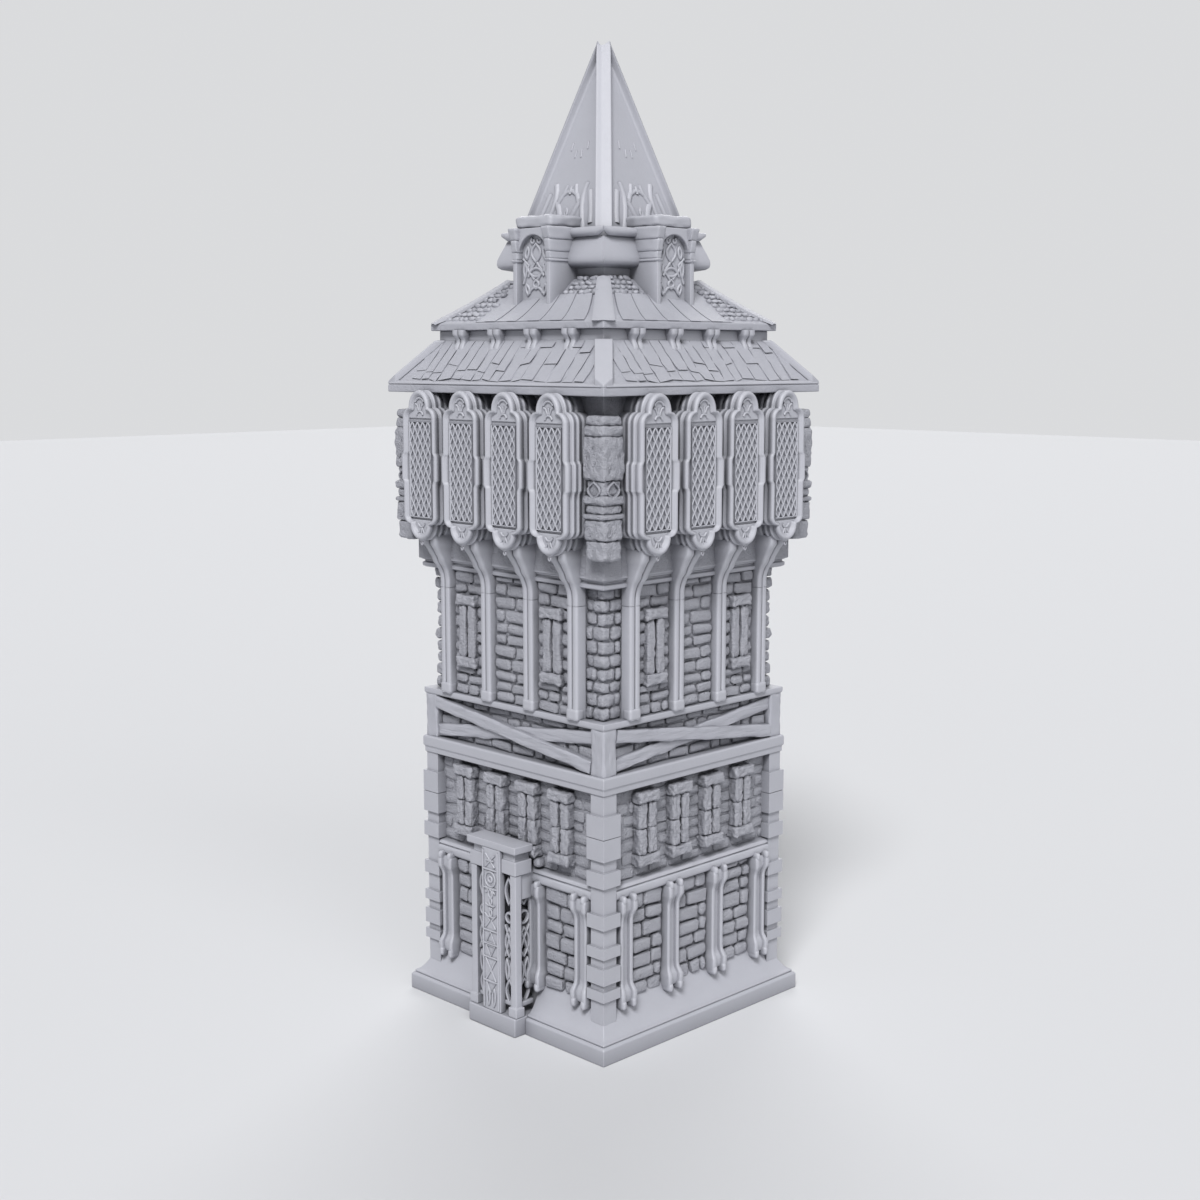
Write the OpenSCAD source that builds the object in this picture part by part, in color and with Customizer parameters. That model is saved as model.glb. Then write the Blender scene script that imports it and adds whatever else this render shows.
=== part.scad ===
// Tabletop watchtower: a square stone tower on a battered base, with a carved porch, a timber-braced
// band, a gallery of lattice oriels, two stacked roofs, a lantern with four arched dormers and a spire.
// Millimetres. +Z is up, the origin is the centre of the underside, and the porch faces -Y.
// Each side is drawn as the front one and turned into place. Profiles are lists of [out, z], where
// out is the distance from the tower's axis.

/* [Body] */
// Side of the square tower, over its corner piers
body_w = 90; // [78:1:120]
// Thickness of every wall
wall_t = 3; // [2:0.5:4]
// How far the lower walls stand back from the corner piers' faces
wall_setback = 3; // [2:0.5:4]
// How far the base slab reaches beyond the corner piers
base_step = 5; // [3:0.5:12]
// Side of the square columns that stand at the tower's corners
pier_w = 6; // [5:0.5:9]

/* [Heights] */
// Height of the base slab
slab_h = 6.1; // [4:0.1:10]
// From the slab up to the top of the string course
lower_storey_h = 51.7; // [45:0.1:70]
// From the string course up to the belt
slit_storey_h = 31.2; // [28:0.1:45]
// Height of the belt under the braced band
belt_h = 6.1; // [4:0.1:9]
// Height of the timber-braced band
brace_band_h = 15.2; // [10:0.1:22]
// Thickness of the floor slab over the braced band
middle_floor_t = 2.4; // [2:0.1:5]
// Height of the storey with the corbelled ribs
middle_storey_h = 43.4; // [38:0.1:60]
// Thickness of the gallery's floor slab
gallery_floor_t = 4; // [3:0.1:6]
// Height of the gallery's walls
gallery_h = 57.4; // [50:0.1:75]
// Thickness of the lower eave
eave_t = 2.5; // [1.5:0.1:4]
// Rise of the lower roof from its eave to the attic wall
lower_roof_rise = 15.2; // [10:0.1:22]
// Attic wall that shows between the lower roof and the upper eave
attic_show_h = 3.2; // [1:0.1:8]
// Thickness of the upper eave
upper_eave_t = 2.4; // [1.5:0.1:4]
// Rise of the upper roof from its eave to the lantern
upper_roof_rise = 14.5; // [11:0.1:20]
// Height of the lantern above the upper roof
lantern_h = 16.8; // [15:0.1:24]
// Height of the spire
spire_h = 63; // [45:0.5:90]

/* [Porch] */
// Width of the porch's plinth
porch_w = 24; // [22:0.5:34]
// How far the porch's plinth stands out from the corner piers
porch_out = 9.7; // [9:0.1:10.5]
// Height of the porch's plinth
porch_plinth_h = 6.6; // [5:0.1:9]
// Height of the canopy's top above the string course
canopy_rise = 9; // [7:0.1:16]
// Thickness of the canopy's slab
canopy_slab_t = 2.6; // [1.5:0.1:4]
// Width of the carved pilaster
pilaster_w = 9; // [6:0.5:11]
// Thickness of the carved pilaster
pilaster_t = 2.5; // [2:0.1:3]
// Side of the porch's front posts
post_w = 2.8; // [2:0.1:3.5]
// Thickness of the pierced screens
screen_t = 1.2; // [1:0.1:2]
// Width of the doorway
door_w = 12; // [10:0.5:16]
// Height of the doorway above the porch's plinth
door_h = 43.4; // [36:0.1:45]

/* [Lower storeys] */
// Height of the string course's face
string_h = 5.5; // [4:0.1:7]
// Thickness of the floor slab at the string course
storey_floor_t = 3; // [2:0.1:5]
// Buttresses on each side
buttress_count = 4; // [2:2:4]
// Width of a buttress
buttress_w = 7.4; // [6:0.1:9]
// How far a buttress's shaft stands out from the wall
buttress_depth = 3.6; // [2.5:0.1:5]
// How far a buttress's head and foot flare beyond its shaft
buttress_flare = 1.6; // [0.5:0.1:2.5]
// Gap between the last buttress and the corner pier
buttress_margin = 1.1; // [1.1:0.1:6]
// Slit windows on each side of the lower tower
slit_count = 4; // [2:1:4]
// Width of a slit
slit_w = 1.4; // [1:0.1:2.5]
// Width of a window's stone frame
slit_frame_w = 8.2; // [7:0.1:10]
// Height of the lower tower's window frames
slit_frame_h = 25.7; // [20:0.1:26]
// How far the lower window frames stand out from the wall
slit_frame_out = 3.9; // [2:0.1:4.5]
// From the string course up to the lower window frames
slit_frame_rise = 3.9; // [2:0.1:6]
// From the last window's bay to the corner pier
slit_margin = 6.6; // [0:0.1:12]

/* [Middle storey] */
// How far the middle walls stand back from the corner piers' faces
middle_setback = 1.5; // [1:0.1:3]
// Width of a corbelled rib
rib_w = 5; // [3:0.1:7]
// How far a rib stands out from the wall
rib_depth = 3.2; // [2:0.1:4]
// Height of the middle storey's window frames
middle_frame_h = 26; // [20:0.1:34]
// From the middle floor up to its window frames
middle_frame_rise = 9.8; // [4:0.1:16]
// How far the middle storey's window frames stand out from the wall
middle_frame_out = 2.6; // [1.5:0.1:4]

/* [Gallery] */
// Oriels on each side
oriel_count = 4; // [2:2:4]
// Width of an oriel's frame
oriel_w = 17.2; // [13:0.1:18]
// How far the oriels' faces stand out from the gallery wall
oriel_depth = 11.4; // [8:0.1:14]
// Thickness of an oriel's front frame
oriel_face_t = 3.8; // [2:0.1:4]
// Width of the rim round an oriel's lattice
oriel_rim = 3; // [2:0.1:4]
// How far an oriel's lattice panel lies behind its frame's face
lattice_recess = 1.5; // [0.5:0.1:2]
// Thickness of an oriel's lattice panel
lattice_t = 1.6; // [1:0.1:3]
// Radius of the round lobes at an oriel's head and foot
lobe_r = 6.6; // [4:0.1:7]
// From the gallery floor up to the oriels' lowest point
oriel_rise = 7.2; // [4:0.1:10]
// How far the corner columns stand out from the gallery wall
column_out = 5.8; // [3:0.1:7]
// How far the corner columns lap over the gallery wall
column_lap = 3.4; // [2:0.1:5]

/* [Roofs] */
// How far the lower eave reaches beyond the gallery wall
lower_eave_out = 7.3; // [4:0.1:9]
// Thickness of the roofs' shells
roof_t = 2.4; // [1.6:0.1:3]
// How far the attic wall stands back from the corner piers' faces
attic_setback = 4.7; // [4:0.1:9]
// How far the upper eave reaches beyond the attic wall
upper_eave_out = 2.2; // [1:0.1:5]
// Width of the boards over the roofs' hips
hip_w = 5.8; // [3:0.1:8]
// How far the hip boards stand out from the roof
hip_t = 0.9; // [0.5:0.1:2]
// From the last eave bracket's middle to the attic wall's corner
bracket_margin = 13.3; // [8:0.1:16]
// Width of an eave bracket
bracket_w = 6; // [4:0.1:8]
// How far an eave bracket stands out from the attic wall
bracket_depth = 3.2; // [2:0.1:4]

/* [Lantern and spire] */
// Half-side of the lantern's neck
lantern_half = 22.9; // [20:0.1:26]
// How far the lantern's skirt flares beyond its neck
skirt_out = 3.1; // [1:0.1:5]
// Width of a dormer
dormer_w = 18.4; // [14:0.1:22]
// How far the dormers' faces stand out from the lantern's neck
dormer_depth = 11.1; // [7:0.1:13]
// Depth of a dormer's carved recess
dormer_recess = 2.5; // [1:0.1:4]
// Width of the piers beside a dormer's recess
dormer_pier_w = 2.2; // [1.5:0.1:4]
// Half-side of the spire's foot
spire_half = 20.2; // [17:0.1:22]
// Half-side of the spire's blunt tip
tip_half = 1.3; // [0.8:0.1:3]

/* [Hidden] */
$fn = 48;

// The tower is cast in a pale grey, with slightly lighter carvings.
STONE = [0.66, 0.66, 0.69];
TRIM = [0.72, 0.72, 0.75];
ROOFING = [0.62, 0.62, 0.66];

// Turns from the front of the tower to each side.
FRONT = 0;
RIGHT = 90;
BACK = 180;
LEFT = 270;

// Reach of the cutting shapes, and a small overshoot for clean cuts.
FAR = 200;
EPS = 0.01;
// Hairline joint between like pieces that meet at a corner.
JOINT = 0.2;
// Height of a slit frame's sill and lintel, and of the moulded foot of a porch post.
SLIT_END_H = 3.8;
POST_FOOT_H = 3.4;

// Levels, from the ground up.
z_slab = slab_h;
z_string = z_slab + lower_storey_h;
z_belt = z_string + slit_storey_h;
z_brace = z_belt + belt_h;
z_middle_floor = z_brace + brace_band_h;
z_middle = z_middle_floor + middle_floor_t;
z_gallery_floor = z_middle + middle_storey_h;
z_gallery = z_gallery_floor + gallery_floor_t;
z_eave = z_gallery + gallery_h;
z_lower_roof = z_eave + eave_t;
z_lower_roof_top = z_lower_roof + lower_roof_rise;
z_upper_eave = z_lower_roof_top + attic_show_h;
z_upper_roof = z_upper_eave + upper_eave_t;
z_lantern = z_upper_roof + upper_roof_rise;
z_spire = z_lantern + lantern_h;
z_tip = z_spire + spire_h;
z_string_foot = z_string - string_h;
z_slit_frames = z_string + slit_frame_rise;
z_middle_frames = z_middle + middle_frame_rise;
z_oriel = z_gallery + oriel_rise;
z_oriel_top = z_eave + 0.9;
z_lattice = z_oriel + 8.7;
z_lattice_top = z_oriel_top - 10.2;
canopy_top = z_string + canopy_rise;
z_canopy_slab = canopy_top - canopy_slab_t;
z_canopy_neck = z_canopy_slab - 2.7;
z_canopy = z_canopy_neck - 5;

// Distances from the axis.
body_half = body_w / 2;
wall_out = body_half - wall_setback;
wall_in = wall_out - wall_t;
pier_in = body_half - pier_w;
wall_half = min(pier_in, wall_in);
base_half = body_half + base_step;
belt_half = body_half + 1;
ledge_half = body_half + 0.5;
middle_out = body_half - middle_setback;
middle_in = middle_out - wall_t;
gallery_out = body_half + 1;
gallery_in = gallery_out - wall_t;
column_half = gallery_out + column_out;
column_in = gallery_out - column_lap;
oriel_face = gallery_out + oriel_depth;
oriel_back = oriel_face - oriel_face_t;
lattice_face = oriel_face - lattice_recess;
lower_eave_half = gallery_out + lower_eave_out;
attic_out = body_half - attic_setback;
attic_in = attic_out - 2.5;
upper_eave_half = attic_out + upper_eave_out;
buttress_face = wall_out + buttress_depth;
buttress_flared = buttress_face + buttress_flare;
string_face = body_half;
rib_face = middle_out + rib_depth;
porch_face = body_half + porch_out;
porch_half = porch_w / 2;
canopy_back = wall_out + slit_frame_out + 0.1;
pilaster_face = porch_face - 0.3;
post_front = porch_face - 1.3;
post_back = post_front - post_w;
post_x = porch_half - 0.6 - post_w / 2;
dormer_face = lantern_half + dormer_depth;

// Even spacing of the pieces along a side.
function row(count, reach) = [for (i = [0 : count - 1]) reach * (2 * i / (count - 1) - 1)];
function bays(count, reach) = [for (i = [0 : count - 1]) reach * ((2 * i + 1) / count - 1)];
buttress_xs = row(buttress_count, pier_in - buttress_margin - buttress_w / 2);
slit_xs = bays(slit_count, pier_in - slit_margin);
oriel_xs = bays(oriel_count, column_in);
middle_slit_xs = [-column_in / 2, column_in / 2];
bracket_xs = row(4, attic_out - bracket_margin);

// The projecting bands of a corner pier: [foot, height].
band_out = 1;
PIER_BANDS = [
    [z_slab + 13.4, 3.6], [z_slab + 19.2, 5.5], [z_slab + 28, 3.7], [z_string_foot - 8.2, 4.7],
    [z_string + 0.3, 5.2], [z_string + 9.4, 7.3], [z_string + 16.9, 7.5]
];

// The apron round the walls' feet: it falls away in a hollow curve to the slab's edge.
batter_rise = 12.4;
batter_reach = base_half - 1 - wall_out;
function batter_curve(t) = [wall_out + batter_reach * t, z_slab + 0.8 + batter_rise * pow(1 - t, 1.8)];
BATTER = concat(
    [[wall_out, z_slab], [wall_out + batter_reach, z_slab]],
    [for (t = [1 : -0.125 : 0]) batter_curve(t)]
);

// Outer lines of the two roofs, the lantern and the spire.
LOWER_ROOF_OUT = [
    [lower_eave_half, z_eave],
    [lower_eave_half, z_lower_roof],
    [attic_out, z_lower_roof_top]
];
roof_span = upper_eave_half - lantern_half;
UPPER_ROOF_CURVE = [for (t = [0 : 0.25 : 1])
    [upper_eave_half - roof_span * t, z_upper_roof + upper_roof_rise * pow(t, 1.2)]];
UPPER_ROOF_OUT = concat([[upper_eave_half, z_upper_eave]], UPPER_ROOF_CURVE);
LANTERN_OUT = [
    [lantern_half, z_lantern - 4],
    [lantern_half, z_lantern + 2.2],
    [lantern_half + skirt_out, z_lantern + 5.6],
    [lantern_half + skirt_out, z_lantern + 8],
    [lantern_half - 0.3, z_spire - 4],
    [lantern_half + 0.6, z_spire - 3],
    [lantern_half + 0.6, z_spire]
];
SPIRE_OUT = [[spire_half, z_spire], [tip_half, z_tip]];

// ---- Shapes that repeat ----

// An [out, z] profile drawn out along a side of the tower.
module bar(profile, length) {
    rotate([90, 0, -90])
        linear_extrude(height = length, center = true)
            polygon(profile);
}

// The quarter of the plan that belongs to the front, with a hairline joint at its mitres.
module front_quarter() {
    translate([0, 0, -FAR])
        linear_extrude(height = 4 * FAR)
            polygon([[0, -JOINT], [FAR, -FAR - JOINT], [-FAR, -FAR - JOINT]]);
}

// A profile that runs along the front and is mitred at both corners.
module mitred_bar(profile) {
    intersection() {
        bar(profile, 2 * FAR);
        front_quarter();
    }
}

// A four-sided solid whose every side has the same [out, z] outline, from the bottom up.
module square_tower(outline) {
    mirrored = [for (i = [len(outline) - 1 : -1 : 0]) [-outline[i][0], outline[i][1]]];
    intersection() {
        bar(concat(outline, mirrored), 2 * FAR);
        rotate([0, 0, 90])
            bar(concat(outline, mirrored), 2 * FAR);
    }
}

// A block on the front, from x0 to x1 and from one distance out to another.
module front_block(x0, x1, out0, out1, z0, z1) {
    translate([x0, -out1, z0])
        cube([x1 - x0, out1 - out0, z1 - z0]);
}

// A flat [x, z] shape on the front, given its thickness from one distance out to another.
module front_plate(out0, out1) {
    translate([0, -out0, 0])
        rotate([90, 0, 0])
            linear_extrude(height = out1 - out0)
                children();
}

module on_sides() {
    for (turn = [FRONT, RIGHT, BACK, LEFT])
        rotate([0, 0, turn])
            children();
}

// A copy of the children at each of the given places along a side.
module along(xs) {
    for (x = xs)
        translate([x, 0, 0])
            children();
}

// The stone frame of a slit window round x = 0: lintel, sill and two jambs.
module slit_frame(wall, out, z0, height) {
    half = slit_frame_w / 2;
    jamb_in = slit_w / 2;
    jamb_w = half - 0.5 - jamb_in;
    z1 = z0 + height;
    front_block(-half, half, wall, wall + out, z0, z0 + SLIT_END_H);
    front_block(-half, half, wall, wall + out, z1 - SLIT_END_H, z1);
    for (x = [-jamb_in - jamb_w, jamb_in])
        front_block(x, x + jamb_w, wall, wall + out - 0.7, z0 + SLIT_END_H - EPS, z1 - SLIT_END_H + EPS);
}

// The opening behind a slit frame, through a wall.
module slit_cut(wall_from, wall_to, z0, height) {
    front_block(-slit_w / 2, slit_w / 2, wall_from - 1, wall_to + 1, z0 + SLIT_END_H, z0 + height - SLIT_END_H);
}

// A board over a hip. line is the hip's [out, z] line, from the eave up.
module hip_board(line) {
    diagonal = sqrt(2);
    outer = [for (p = line) [p[0] * diagonal + hip_t * diagonal, p[1]]];
    inner = [for (i = [len(line) - 1 : -1 : 0]) [line[i][0] * diagonal - 3, line[i][1]]];
    rotate([0, 0, 45])
        bar(concat(outer, inner), hip_w);
}

// Everything that lies beyond an eave, for trimming the hip boards' feet.
module beyond_eave(eave_half) {
    on_sides()
        front_block(-FAR, FAR, eave_half, FAR, 0, 2 * FAR);
}

// ---- Base ----

module base_plinth() {
    color(STONE)
        difference() {
            square_tower([[base_half, 0], [base_half, z_slab - 0.7], [base_half - 0.7, z_slab]]);
            front_block(-porch_half, porch_half, wall_out, FAR, -1, FAR);
        }
}

module base_batter() {
    color(STONE)
        difference() {
            on_sides()
                mitred_bar(BATTER);
            on_sides()
                translate([pier_in, pier_in, z_slab - 1])
                    cube([pier_w, pier_w, FAR]);
            front_block(-porch_half, porch_half, wall_out - 1, FAR, 0, FAR);
        }
}

// ---- Porch ----

module porch_plinth() {
    color(STONE)
        front_block(-porch_half, porch_half, wall_out, porch_face, 0, porch_plinth_h);
}

module porch_posts() {
    foot = 0.6;
    color(TRIM)
        along([-post_x, post_x])
            union() {
                front_block(-post_w / 2, post_w / 2, post_back, post_front, porch_plinth_h, z_canopy);
                front_block(-post_w / 2 - foot, post_w / 2 + foot, post_back - foot, post_front + foot,
                    porch_plinth_h, porch_plinth_h + POST_FOOT_H);
            }
}

module porch_screens() {
    z0 = porch_plinth_h + POST_FOOT_H;
    gap_x = post_x - post_w / 2 - pilaster_w / 2;
    front_x = pilaster_w / 2 + gap_x / 2;
    pierce = 2.2;
    step = 4.2;
    count = floor((z_canopy - z0 - step) / step);
    screen_out = pilaster_face - pilaster_t + 0.4;
    color(TRIM) {
        along([-front_x, front_x])
            difference() {
                front_block(-gap_x / 2, gap_x / 2, screen_out - screen_t, screen_out, z0, z_canopy);
                for (i = [1 : count])
                    front_plate(screen_out - 2 * screen_t, screen_out + screen_t)
                        translate([0, z0 + i * step])
                            rotate(45)
                                square(pierce, center = true);
            }
        along([-post_x, post_x])
            difference() {
                bar([[post_back, z0], [post_back, z_canopy], [buttress_flared + 0.1, z_canopy],
                    [buttress_flared + 0.1, z_string - 9], [buttress_face + 0.1, z_string - 11],
                    [buttress_face + 0.1, z_slab + 18], [buttress_flared + 0.1, z_slab + 16],
                    [buttress_flared + 0.1, z0]], screen_t);
                for (i = [1 : count])
                    translate([0, -(post_back + buttress_flared) / 2, z0 + i * step])
                        rotate([45, 0, 0])
                            cube([2 * screen_t, 1.8, 1.8], center = true);
            }
    }
}

module porch_canopy() {
    color(STONE)
        difference() {
            union() {
                front_block(-porch_half + 0.3, porch_half - 0.3, canopy_back, porch_face - 1, z_canopy,
                    z_canopy_neck);
                front_block(-porch_half + 1.6, porch_half - 1.6, canopy_back, porch_face - 1.8,
                    z_canopy_neck - EPS, z_canopy_slab + EPS);
                front_block(-porch_half - 0.3, porch_half + 0.3, canopy_back, porch_face - 0.2,
                    z_canopy_slab, canopy_top);
            }
            front_block(-pilaster_w / 2, pilaster_w / 2, pilaster_face - pilaster_t, FAR, 0, z_canopy_slab);
        }
}

module porch_pilaster() {
    color(TRIM)
        front_block(-pilaster_w / 2, pilaster_w / 2, pilaster_face - pilaster_t, pilaster_face,
            porch_plinth_h, z_canopy_slab);
}

// ---- Lower tower ----

// A stretch of the lower wall from x0 to x1, with the slits that fall in it.
module lower_wall(x0, x1, z0) {
    color(STONE)
        difference() {
            front_block(x0, x1, wall_in, wall_out, z0, z_belt);
            along(slit_xs)
                slit_cut(wall_in, wall_out, z_slit_frames, slit_frame_h);
        }
}

module lower_front_wall_left() {
    lower_wall(-wall_half, -door_w / 2, z_slab);
}

module lower_front_wall_right() {
    lower_wall(door_w / 2, wall_half, z_slab);
}

module lower_front_wall_head() {
    lower_wall(-door_w / 2, door_w / 2, porch_plinth_h + door_h);
}

module lower_right_wall() {
    rotate([0, 0, RIGHT])
        lower_wall(-wall_half, wall_half, z_slab);
}

module lower_back_wall() {
    rotate([0, 0, BACK])
        lower_wall(-wall_half, wall_half, z_slab);
}

module lower_left_wall() {
    rotate([0, 0, LEFT])
        lower_wall(-wall_half, wall_half, z_slab);
}

// The plan of a corner column that clasps the ends of two walls.
module corner_plan(half) {
    translate([pier_in, pier_in])
        square(half - pier_in);
    translate([wall_half, wall_half])
        square(wall_out - wall_half);
}

module corner_piers() {
    near = pier_in - band_out;
    far = body_half + band_out;
    band = [[wall_out, near], [far, near], [far, far], [near, far], [near, wall_out],
        [pier_in, wall_out], [pier_in, pier_in], [wall_out, pier_in]];
    color(STONE)
        on_sides() {
            translate([0, 0, z_slab])
                linear_extrude(height = z_belt - z_slab)
                    corner_plan(body_half);
            for (b = PIER_BANDS)
                translate([0, 0, b[0]])
                    linear_extrude(height = b[1])
                        polygon(band);
        }
}

module buttresses() {
    z_foot = z_slab + 6;
    z_head = z_string - 2;
    rib = [[wall_out, z_foot], [buttress_flared, z_foot], [buttress_flared, z_slab + 12.5],
        [buttress_face, z_slab + 16], [buttress_face, z_head - 7], [buttress_flared, z_head - 4.5],
        [buttress_flared, z_head], [string_face, z_head], [string_face, z_string_foot],
        [wall_out, z_string_foot]];
    web = [[wall_out, z_foot], [buttress_face - 1.2, z_foot], [buttress_face - 1.2, z_string_foot],
        [wall_out, z_string_foot]];
    side_w = buttress_w * 0.36;
    side_x = (buttress_w - side_w) / 2;
    color(TRIM)
        on_sides()
            along(buttress_xs)
                difference() {
                    union() {
                        along([-side_x, side_x])
                            bar(rib, side_w);
                        bar(web, buttress_w - side_w);
                    }
                    bar(BATTER, 2 * buttress_w);
                }
}

module string_course() {
    profile = [[wall_out, z_string_foot], [string_face - 1.2, z_string_foot],
        [string_face, z_string_foot + 1.2], [string_face, z_string - 1.6],
        [string_face - 1.4, z_string], [wall_out, z_string]];
    color(STONE)
        on_sides()
            bar(profile, 2 * pier_in);
}

module slit_storey_floor() {
    z0 = z_string - storey_floor_t;
    color(STONE)
        difference() {
            front_block(-wall_in, wall_in, -wall_in, wall_in, z0, z_string);
            on_sides()
                translate([0, 0, z0 - 1])
                    linear_extrude(height = storey_floor_t + 2)
                        corner_plan(body_half);
        }
}

module lower_slit_frames() {
    color(TRIM)
        on_sides()
            along(slit_xs)
                slit_frame(wall_out, slit_frame_out, z_slit_frames, slit_frame_h);
}

module lower_belt() {
    under_h = 2;
    profile = [[wall_half, z_belt], [ledge_half, z_belt], [ledge_half, z_belt + under_h],
        [belt_half, z_belt + under_h + 0.4], [belt_half, z_brace - 0.5], [belt_half - 0.5, z_brace],
        [wall_half, z_brace]];
    color(STONE)
        on_sides()
            mitred_bar(profile);
}

// ---- Braced band ----

module brace_infill() {
    color(STONE)
        on_sides()
            front_block(-wall_half + JOINT, wall_half - JOINT, wall_in, wall_out, z_brace, z_middle_floor);
}

module brace_posts() {
    color(STONE)
        on_sides()
            translate([0, 0, z_brace])
                linear_extrude(height = brace_band_h)
                    corner_plan(body_half + 0.3);
}

module cross_braces() {
    timber_w = 4.6;
    timber_t = wall_setback;
    tilt = atan((brace_band_h - timber_w) / (2 * pier_in));
    color(TRIM)
        on_sides()
            front_plate(wall_out, wall_out + timber_t)
                intersection() {
                    translate([-pier_in, z_brace])
                        square([2 * pier_in, brace_band_h]);
                    translate([0, z_brace + brace_band_h / 2])
                        for (turn = [-tilt, tilt])
                            rotate(turn)
                                square([3 * pier_in, timber_w], center = true);
                }
}

// ---- Middle storey ----

module middle_floor() {
    color(STONE)
        square_tower([[ledge_half - 0.6, z_middle_floor], [ledge_half, z_middle_floor + 0.5],
            [ledge_half, z_middle]]);
}

module middle_wall(half) {
    color(STONE)
        difference() {
            front_block(-half, half, middle_in, middle_out, z_middle, z_gallery_floor);
            along(middle_slit_xs)
                slit_cut(middle_in, middle_out, z_middle_frames, middle_frame_h);
        }
}

module middle_front_wall() {
    middle_wall(middle_out);
}

module middle_right_wall() {
    rotate([0, 0, RIGHT])
        middle_wall(middle_in);
}

module middle_back_wall() {
    rotate([0, 0, BACK])
        middle_wall(middle_out);
}

module middle_left_wall() {
    rotate([0, 0, LEFT])
        middle_wall(middle_in);
}

// Each rib climbs the middle wall and then swells out in a corbel under its oriel.
module wall_ribs() {
    z_bend = z_gallery_floor - 6;
    z_end = z_oriel + 2;
    reach = oriel_face - 2.5 - rib_face;
    corbel = [for (t = [0 : 0.2 : 1]) [rib_face + reach * t * t, z_bend + (z_end - z_bend) * t]];
    profile = concat(
        [[middle_out, z_middle], [rib_face, z_middle]],
        corbel,
        [[gallery_out, z_end], [gallery_out, z_gallery], [ledge_half, z_gallery],
            [ledge_half, z_gallery_floor], [middle_out, z_gallery_floor]]
    );
    color(TRIM)
        on_sides()
            along(oriel_xs)
                difference() {
                    bar(profile, rib_w);
                    front_plate(gallery_out - 1, oriel_face + 1)
                        oriel_outline(0);
                }
}

module middle_slit_frames() {
    color(TRIM)
        on_sides()
            along(middle_slit_xs)
                slit_frame(middle_out, middle_frame_out, z_middle_frames, middle_frame_h);
}

module gallery_floor() {
    color(STONE)
        square_tower([[ledge_half - 1, z_gallery_floor], [ledge_half - 1, z_gallery_floor + 1.2],
            [ledge_half, z_gallery_floor + 1.6], [ledge_half, z_gallery]]);
}

// ---- Gallery ----

// The outline of an oriel's frame: a tall rectangle with a round lobe at its head and foot.
module oriel_outline(grow) {
    z0 = z_oriel + 6.2;
    z1 = z_oriel_top - 7.2;
    half = oriel_w / 2 + grow;
    translate([-half, z0 - grow])
        square([2 * half, z1 - z0 + 2 * grow]);
    for (z = [z_oriel + lobe_r, z_oriel_top - lobe_r])
        translate([0, z])
            circle(r = lobe_r + grow);
}

// The lattice window of an oriel, as a flat opening.
module oriel_window() {
    half = oriel_w / 2 - oriel_rim;
    translate([-half, z_lattice])
        square([2 * half, z_lattice_top - z_lattice]);
}

module gallery_wall(half) {
    color(STONE)
        difference() {
            front_block(-half, half, gallery_in, gallery_out, z_gallery, z_eave);
            along(oriel_xs)
                front_plate(gallery_in - 1, gallery_out + 1)
                    oriel_window();
        }
}

module gallery_front_wall() {
    gallery_wall(gallery_out);
}

module gallery_right_wall() {
    rotate([0, 0, RIGHT])
        gallery_wall(gallery_in);
}

module gallery_back_wall() {
    rotate([0, 0, BACK])
        gallery_wall(gallery_out);
}

module gallery_left_wall() {
    rotate([0, 0, LEFT])
        gallery_wall(gallery_in);
}

// The oriels of one side: a shallow box with a heavier lobed frame on its face.
module oriels(turn) {
    color(TRIM)
        rotate([0, 0, turn])
            along(oriel_xs)
                difference() {
                    union() {
                        front_plate(gallery_out, oriel_back + EPS)
                            intersection() {
                                oriel_outline(-0.8);
                                translate([-FAR, z_eave - FAR])
                                    square([2 * FAR, FAR]);
                            }
                        front_plate(oriel_back, oriel_face)
                            oriel_outline(0);
                    }
                    front_plate(gallery_out - 1, oriel_face + 1)
                        oriel_window();
                }
}

module front_oriels() {
    oriels(FRONT);
}

module right_oriels() {
    oriels(RIGHT);
}

module back_oriels() {
    oriels(BACK);
}

module left_oriels() {
    oriels(LEFT);
}

// The lattices are carved on solid panels, so that they close the oriels.
module oriel_lattices() {
    color(TRIM)
        on_sides()
            along(oriel_xs)
                front_plate(lattice_face - lattice_t, lattice_face)
                    oriel_window();
}

// Each column clasps a corner of the gallery and is stacked from carved drums.
module gallery_corner_columns() {
    z_foot = z_oriel - 1.1;
    column_h = z_eave - z_foot;
    drums = [[0, 6.2, 0.9], [6.2, 26, 0], [26, 42.4, 0], [42.4, 45.3, 0.6], [45.3, column_h, 2.2]];
    color(TRIM)
        on_sides()
            for (drum = drums) {
                out = column_half - drum[2];
                translate([0, 0, z_foot + drum[0]])
                    linear_extrude(height = drum[1] - drum[0])
                        polygon([[gallery_out, column_in], [out, column_in], [out, out], [column_in, out],
                            [column_in, gallery_out], [gallery_out, gallery_out]]);
            }
}

// ---- Roofs ----

module lower_roof() {
    slope = atan(lower_roof_rise / (lower_eave_half - attic_out));
    profile = concat(
        [[gallery_in, z_eave]],
        LOWER_ROOF_OUT,
        [[attic_out, z_lower_roof_top - roof_t / cos(slope)],
            [lower_eave_half - roof_t / sin(slope), z_lower_roof], [gallery_in, z_lower_roof]]
    );
    color(ROOFING)
        on_sides()
            mitred_bar(profile);
}

module lower_roof_hips() {
    color(STONE)
        difference() {
            on_sides()
                hip_board([[lower_eave_half, z_lower_roof], [attic_out, z_lower_roof_top]]);
            square_tower(LOWER_ROOF_OUT);
            square_tower([[attic_out, z_lower_roof], [attic_out, z_upper_eave]]);
            beyond_eave(lower_eave_half);
        }
}

module attic_walls() {
    z_foot = z_lower_roof_top - 5.7;
    color(STONE)
        on_sides()
            mitred_bar([[attic_in, z_foot], [attic_out, z_foot], [attic_out, z_upper_eave],
                [attic_in, z_upper_eave]]);
}

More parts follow.
